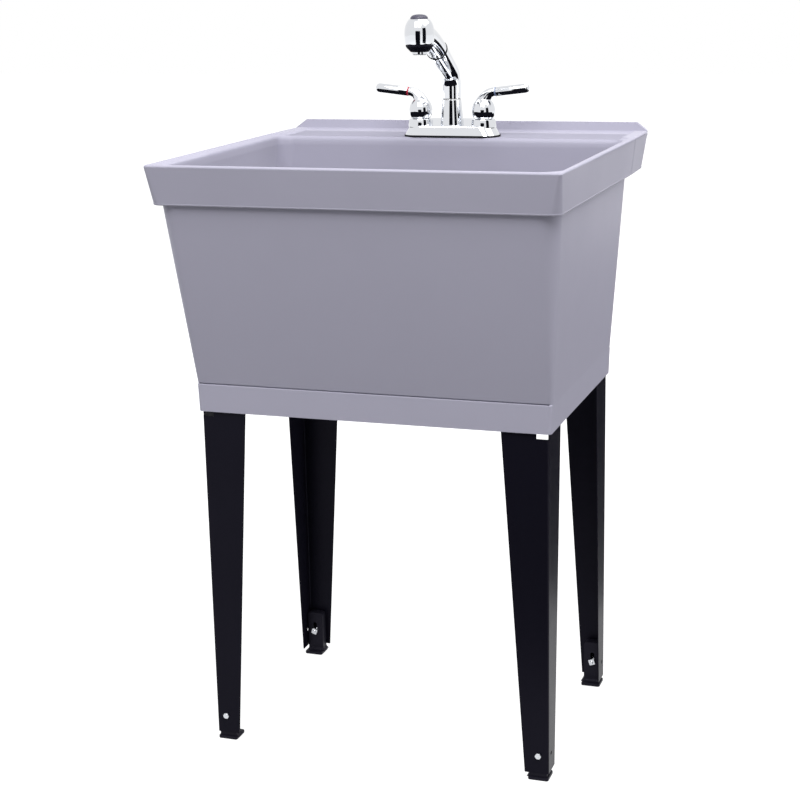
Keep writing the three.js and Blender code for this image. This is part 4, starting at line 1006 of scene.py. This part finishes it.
def make_through_deck(name, node_name, x, radius, bore, foot, neck, neck_top, hole):
    """A threaded brass tube that hangs through the deck, with its washer and wing nut below."""
    place = TAP @ shift(x, 0, 0)
    collar_foot = PLATE_FOOT + GAP
    root = radius - 0.25
    shape = [(radius - 0.9, foot), (root, foot + 0.8), (root, -4), (radius, -3.6)]
    shape += [(radius, collar_foot), (12.2, collar_foot), (12.2, PLATE_FOOT + 5)]
    shape += [(neck, PLATE_FOOT + 5), (neck, neck_top)]
    body = turned(name + "_brass", shape, 96)
    cut(body, rod("bore", bore, foot - 1, neck_top + 1 if bore > 7 else -5, 48))
    threaded(body, "brass", radius, foot + 1.2, -4.2, 1.8)
    fitted(body, place, "sink", "brass", [node_name])
    top = -WALL - GAP
    washer = collar(name + "_deck_ring", radius + 0.4, hole + 3, top - 1.6, top)
    fitted(washer, place, "sink", "rubber", [node_name + "_washer"])
    top -= 1.6 + GAP
    inner = radius + 0.4
    nut = rod(name + "_wing_nut", inner + 3.6, top - 11, top, 64)
    reach = inner + 6.6
    wings = [block("wings", -x, x, -y, y, top - 11, top - 2) for x, y in ((reach, 2), (2, reach))]
    cut(joined(nut, *wings), rod("bore", inner, top - 12, top + 1, 64))
    fitted(nut, place, "sink", "white_plastic", [node_name + "_nut"], edge=0.5)


make_tap_base()
for tap, x in (("hot", -HOLE_SPACING), ("cold", HOLE_SPACING)):
    neck_top = HUB_SEAT - 1.3
    make_through_deck(tap + "_shank", tap + "_valve", x, 10, 6, -50, 8.8, neck_top, VALVE_HOLE)
make_through_deck("hose_way", "hose_tube", 0, 10.6, 8, -38, 10.6, 26.5, HOSE_HOLE)

# ---- Spout and spray head


def spout_stations(foot_radius, dock_radius, overrun):
    turn = pi / 2 - SPOUT_ANGLE
    bend_foot = DOCK_HEIGHT - SPOUT_REACH * tan(SPOUT_ANGLE) - SPOUT_BEND * tan(turn / 2)
    stations = [((0, 0, SPOUT_FOOT - overrun), foot_radius)]
    for k in range(25):
        a = turn * k / 24
        centre = (0, SPOUT_BEND * (cos(a) - 1), bend_foot + SPOUT_BEND * sin(a))
        stations.append((centre, foot_radius))
    last = Vector(stations[-1][0])
    back, up = overrun * cos(SPOUT_ANGLE), overrun * sin(SPOUT_ANGLE)
    end = Vector((0, -SPOUT_REACH - back, DOCK_HEIGHT + up))
    for k in range(1, 7):
        stations.append((last.lerp(end, k / 6), foot_radius + (dock_radius - foot_radius) * k / 6))
    return stations


def make_spout():
    body = pipe("bent_spout", spout_stations(SPOUT_RADIUS, DOCK_RADIUS, 0), X_AXIS, 72)
    joined(body, rod("sleeve", 10.8, 27.5, SPOUT_FOOT + 1, 48))
    bore = pipe("bore", spout_stations(SPOUT_BORE, SPOUT_BORE, 0.5)[1:], X_AXIS, 48)
    cut(body, bore, rod("way", 8.4, 26.5, SPOUT_FOOT + 24, 48))
    fitted(body, TAP, "swivel_spout", "chrome", ["spout"], edge=0.5)
    seam = [(15.6, GAP), (15.85, -0.5), (16.3, -0.35), (16.5, 0.6), (16.3, 1.6), (15.85, 1.75)]
    ring = turned("dock_seam", [*seam, (15.6, GAP + 1.2)], 72)
    cut(ring, rod("bore", SPOUT_BORE, -1, 3, 72))
    fitted(ring, DOCK, "swivel_spout", "rubber", ["dock_ring"])


def make_spray_head():
    foot = SPRAY_HEIGHT + GAP
    egg = [(0.936, 0), (0.982, 0.164), (1, 0.355), (0.995, 0.519), (0.954, 0.683)]
    egg += [(0.872, 0.82), (0.761, 0.929), (0.66, 1)]
    egg = eased(egg, 5, foot, SPRAY_RADIUS, SPRAY_LENGTH)
    body = turned("spray_head_casting", egg, 96, 0, -SPRAY_REACH)
    axis = Vector((0, -cos(SPOUT_ANGLE), sin(SPOUT_ANGLE)))
    dock = Vector((0, -SPOUT_REACH, DOCK_HEIGHT))
    start = dock + axis * (1.2 + 2 * GAP)
    bend = dock + axis * (42 / cos(SPOUT_ANGLE))
    end = Vector((0, 6 - SPRAY_REACH, foot + 16.7))
    neck = []
    for k in range(21):
        t = k / 20
        neck.append((start * (1 - t) ** 2 + bend * 2 * t * (1 - t) + end * t * t, DOCK_RADIUS))
    joined(body, pipe("neck", neck, X_AXIS, 72))
    flowed(body, 0.6, 10)
    spigot = [(dock - axis * 16, 10.6), (dock - axis * 15.4, 11), (dock + axis * 4, 11)]
    joined(body, pipe("spigot", spigot, X_AXIS, 48))
    spaces = (("well", 13.2, 27, 60, 96), ("socket", 15.3, -5, 6, 72), ("room", 20.6, -20, 0, 72))
    cut(body, *(rod(title, radius, foot + z0, foot + z1, segments, 0, -SPRAY_REACH)
                for title, radius, z0, z1, segments in spaces))
    fitted(body, TAP, "spray_head", "chrome", ["spray_body"], angle=40)

    top = SPRAY_HEIGHT
    nose = [(12.4, -10.2), (13.3, -10), (15.6, -7.6), (17.5, -5.5), (19.2, -3.2), (20.2, -1.5)]
    nose += [(20.3, -0.9), (20.2, 0), (15, 0), (15, 5.5)]
    ring = turned("spray_nose_ring", above(top, nose), 96)
    cut(ring, rod("well", 11.2, top - 12, top - 6, 72))
    with_pegs(ring, "black_plastic", 30, 18.7, 0.45, top - 5.4, top - 1.8, 8, 0.62)
    fitted(ring, SPRAY, "spray_head", "black_plastic", ["spray_ring"])

    low = top - 14.2
    face = turned("spray_plate", above(low, [(9.6, 0), (10.3, 0.2), (10.9, 0.9), (10.9, 7.9)]), 72)
    for count, circle_radius in ((6, 3), (12, 5.6), (18, 8.2)):
        with_pegs(face, "chrome", count, circle_radius, 0.5, low - 0.5, low + 0.5, 10)
    fitted(face, SPRAY, "spray_head", "chrome", ["spray_face"])

    low, high = foot + 31, top + 43.3
    crown = [(12.9, -5.7), (12.6, -4.6), (11.8, -3.3), (9.2, -1.4), (5, -0.35), (0, 0)]
    cap = [(12.6, low), (12.9, low + 0.4), *eased(crown, 4, high)]
    button = turned("spray_switch_cap", cap, 96)
    fitted(button, SPRAY, "spray_switch", "black_plastic", ["spray_button"], look="soft_touch")

    shape = [(5.6, -58.3), (6.2, -57.6), (6.2, -46), (5.7, -45.6), (5.7, -44.4), (6.2, -44)]
    shape += [(6.2, -30), (5.7, -29.6), (5.7, -28.4), (6.2, -28), (6.2, -17), (5.6, -16.3)]
    fitted(turned("hose_coupling", shape, 48), DOCK, "spray_head", "zinc", ["hose_end"])


make_spout()
make_spray_head()

# ---- Handles


def lever_pipe(name, stations, segments=56):
    """A round shape along the lever, from (reach, rise, radius)."""
    path = []
    for reach, rise, radius in stations:
        slope = tan(LEVER_SLOPE) * max(reach - LEVER_NECK, 0)
        path.append(((-reach, 0, LEVER_HEIGHT + rise + slope), radius))
    return pipe(name, path, Y_AXIS, segments)


def make_handle(name, mirror, ring_slot):
    body_name = name + "_lever_handle"
    place = TAP @ shift(-HOLE_SPACING * mirror, 0, 0) @ Matrix.Diagonal((mirror, 1, 1, 1))
    low = HUB_SEAT + GAP
    dome = [(0.78, 0), (0.87, 0.08), (0.95, 0.18), (0.992, 0.29), (1, 0.38), (0.985, 0.47)]
    dome += [(0.93, 0.6), (0.83, 0.74), (0.62, 0.89), (0.42, 1)]
    hub = turned(name + "_handle_casting", eased(dome, 5, low, HUB_RADIUS, HUB_HEIGHT), 96)
    arm = [(-2, -17, 11), (3, -9, 9.6), (8, -3.4, 8), (13.5, -0.7, 7.1), (16, -0.1, 6.9)]
    joined(hub, lever_pipe("arm", flowing([*arm, (LEVER_NECK, 0, 6.8)], 5)))
    flowed(hub, 0.55, 10)
    joined(hub, lever_pipe("spigot", [(LEVER_NECK - 4, 0, 4), (30, 0, 4)], 32))
    hollow = turned("hollow", above(low, [(12.5, -1), (12.5, 8), (11.5, 11), (9, 14)]), 72)
    cut(hub, hollow, rod("socket", 4.3, low - 1, HUB_SEAT + 19.3, 32))
    fitted(hub, place, body_name, "chrome", [name + "_handle"], angle=40)

    grip = [(20.9, 6.5), (21.2, 6.95), (21.9, 7.2), (45, 7.2), (67.3, 7.2), (68.6, 6.95)]
    grip += [(70, 6.4), (71.2, 5.5), (72.1, 4.3), (72.5, 3.4)]
    ring = [(19.3, 6.9), (19.5, 7.1), (20.4, 7.1), (20.6, 6.9)]
    for title, slot, outline, part in (
        ("_lever_grip", "chrome", grip, "_lever"),
        ("_colour_ring", ring_slot, ring, "_ring"),
    ):
        body = lever_pipe(name + title, [(reach, 0, r) for reach, r in outline], 72)
        cut(body, lever_pipe("bore", [(17, 0, 4.3), (31, 0, 4.3)], 32))
        fitted(body, place, body_name, slot, [name + part])

    foot = HUB_SEAT - 1
    stem = turned(name + "_valve_stem", above(foot, [(3.75, 0), (3.75, 18.5), (3.3, 19)]), 40)
    with_pegs(stem, "brass", 20, 3.66, 0.34, foot + 4, foot + 18.6)
    fitted(stem, place, body_name, "brass", [name + "_stem"])


make_handle("hot", 1, "hot_red")
make_handle("cold", -1, "cold_blue")

# ---- Lamps, floor and background


def lamp(name, size, power, position, mirrored):
    data = bpy.data.lights.new(name, "AREA")
    data.shape = "RECTANGLE"
    data.size, data.size_y = size
    data.energy = power
    made = in_scene(name, data)
    made.location = position
    ahead = Vector(LAMP_TARGET) - Vector(position)
    made.rotation_euler = ahead.to_track_quat("-Z", "Y").to_euler()
    made.visible_glossy = mirrored


# Name, size, power, place, and whether polished pieces show it
LAMPS = [
    ("top", (2.4, 2.4), 47, (0.9, 0.2, 2.9), True),
    ("high_front", (2.2, 1.6), 85, (0.1, -1.7, 2.9), True),
    ("right", (1.2, 1.6), 28, (2.8, 0.6, 1.3), False),
    ("left", (1.2, 1.6), 32, (-2.8, 0.6, 1.3), False),
    ("back", (2, 1.2), 30, (0.2, 3.4, 1.7), False),
]
SOFT_BELOW = 0.38
SOFT_ABOVE = 0.42
MIRRORED = 1
FLOOR_PAINT = 0.3
FLOOR_GLOW = 0.85
FLOOR_HALF = 15000
FLAG_BLACK = (0.004, 0.004, 0.006, 1)
LAMP_TARGET = (0, 0, 0.65)
WHITE = (1, 1, 1, 1)
SKY_TINT = (0.95, 0.97, 1, 1)


def light_the_set():
    for settings in LAMPS:
        lamp(*settings)
    world = scene.world or bpy.data.worlds.new("world")
    scene.world = world
    world.use_nodes = True
    tree = world.node_tree
    tree.nodes.clear()
    light = node(tree, "LightPath").outputs
    seen = maths(tree, "MAXIMUM", light["Is Camera Ray"], light["Is Transmission Ray"])
    seen = maths(tree, "MAXIMUM", seen, light["Is Glossy Ray"])
    place = node(tree, "TexCoord").outputs["Generated"]
    height = node(tree, "SeparateXYZ", {0: place}).outputs["Z"]
    glow = ranged(tree, height, 0, 1, SOFT_BELOW, SOFT_ABOVE)
    lit = result(tree, "Background", {"Color": SKY_TINT, "Strength": glow})
    white = result(tree, "Background", {"Color": WHITE, "Strength": MIRRORED})
    mixed = result(tree, "MixShader", {0: seen, 1: lit, 2: white})
    node(tree, "OutputWorld", {"Surface": mixed})


def hang_flag(name, corners):
    """A dark card that only polished pieces show, as a studio hangs beside chrome."""
    made = bpy.data.materials.new(name)
    made.use_nodes = True
    inputs = made.node_tree.nodes["Principled BSDF"].inputs
    inputs["Base Color"].default_value = FLAG_BLACK
    inputs["Specular IOR Level"].default_value = 0
    mesh = bpy.data.meshes.new(name)
    mesh.from_pydata(corners, [], [range(len(corners))])
    mesh.materials.append(made)
    flag = in_scene(name, mesh)
    for kind in ("camera", "diffuse", "transmission", "volume_scatter", "shadow"):
        setattr(flag, "visible_" + kind, False)


def lie_flag(name, height, *corners):
    """A dark card that lies flat at a height."""
    hang_flag(name, at(corners, height))


def lay_the_floor():
    """A pale floor that is white to the camera, and keeps the shadow near the legs."""
    floor = block("floor", -FLOOR_HALF, FLOOR_HALF, -FLOOR_HALF, FLOOR_HALF, -20, 0)
    made = bpy.data.materials.new("pale_floor")
    made.use_nodes = True
    tree = made.node_tree
    tree.nodes.clear()
    light = node(tree, "LightPath").outputs
    seen = maths(tree, "MAXIMUM", light["Is Camera Ray"], light["Is Glossy Ray"])
    place = node(tree, "TexCoord").outputs["Object"]
    distance = node(tree, "VectorMath", {0: place}, operation="LENGTH").outputs["Value"]
    glow = ranged(tree, distance, 0.8, 3, FLOOR_GLOW, 1)
    paint = result(tree, "BsdfDiffuse", {"Color": (*[FLOOR_PAINT] * 3, 1)})
    white = result(tree, "Emission", {"Color": WHITE, "Strength": glow})
    both = result(tree, "AddShader", {0: paint, 1: white})
    mixed = result(tree, "MixShader", {0: seen, 1: paint, 2: both})
    node(tree, "OutputMaterial", {"Surface": mixed})
    floor.data.materials.append(made)


light_the_set()
lay_the_floor()
near, far, deck = TAP_Y * MM - 0.3, TAP_Y * MM + 0.06, DECK_Z * MM + 0.0003
lie_flag("deck_flag", deck, (-0.35, near), (0.35, near), (0.35, far), (-0.35, far))
for name, x0, y0, x1, y1, top in (
    ("front_flag", -0.58, -2.53, 1.06, -2.37, 1.45),
    ("right_flag", 1.77, -1.9, 2.46, -0.85, 2),
    ("rear_flag", 0.3, 2.8, 2.6, 2, 0.25),
):
    hang_flag(name, [(x0, y0, 0), (x1, y1, 0), (x1, y1, top), (x0, y0, top)])
lie_flag("front_low_flag", 0.0005, (-0.3, -0.6), (-0.58, -2.53), (1.06, -2.37), (0.5, -0.6))
lie_flag("rear_low_flag", 0.0005, (0.35, 0.5), (1.3, 0.5), (2.6, 2), (0.3, 2.8))
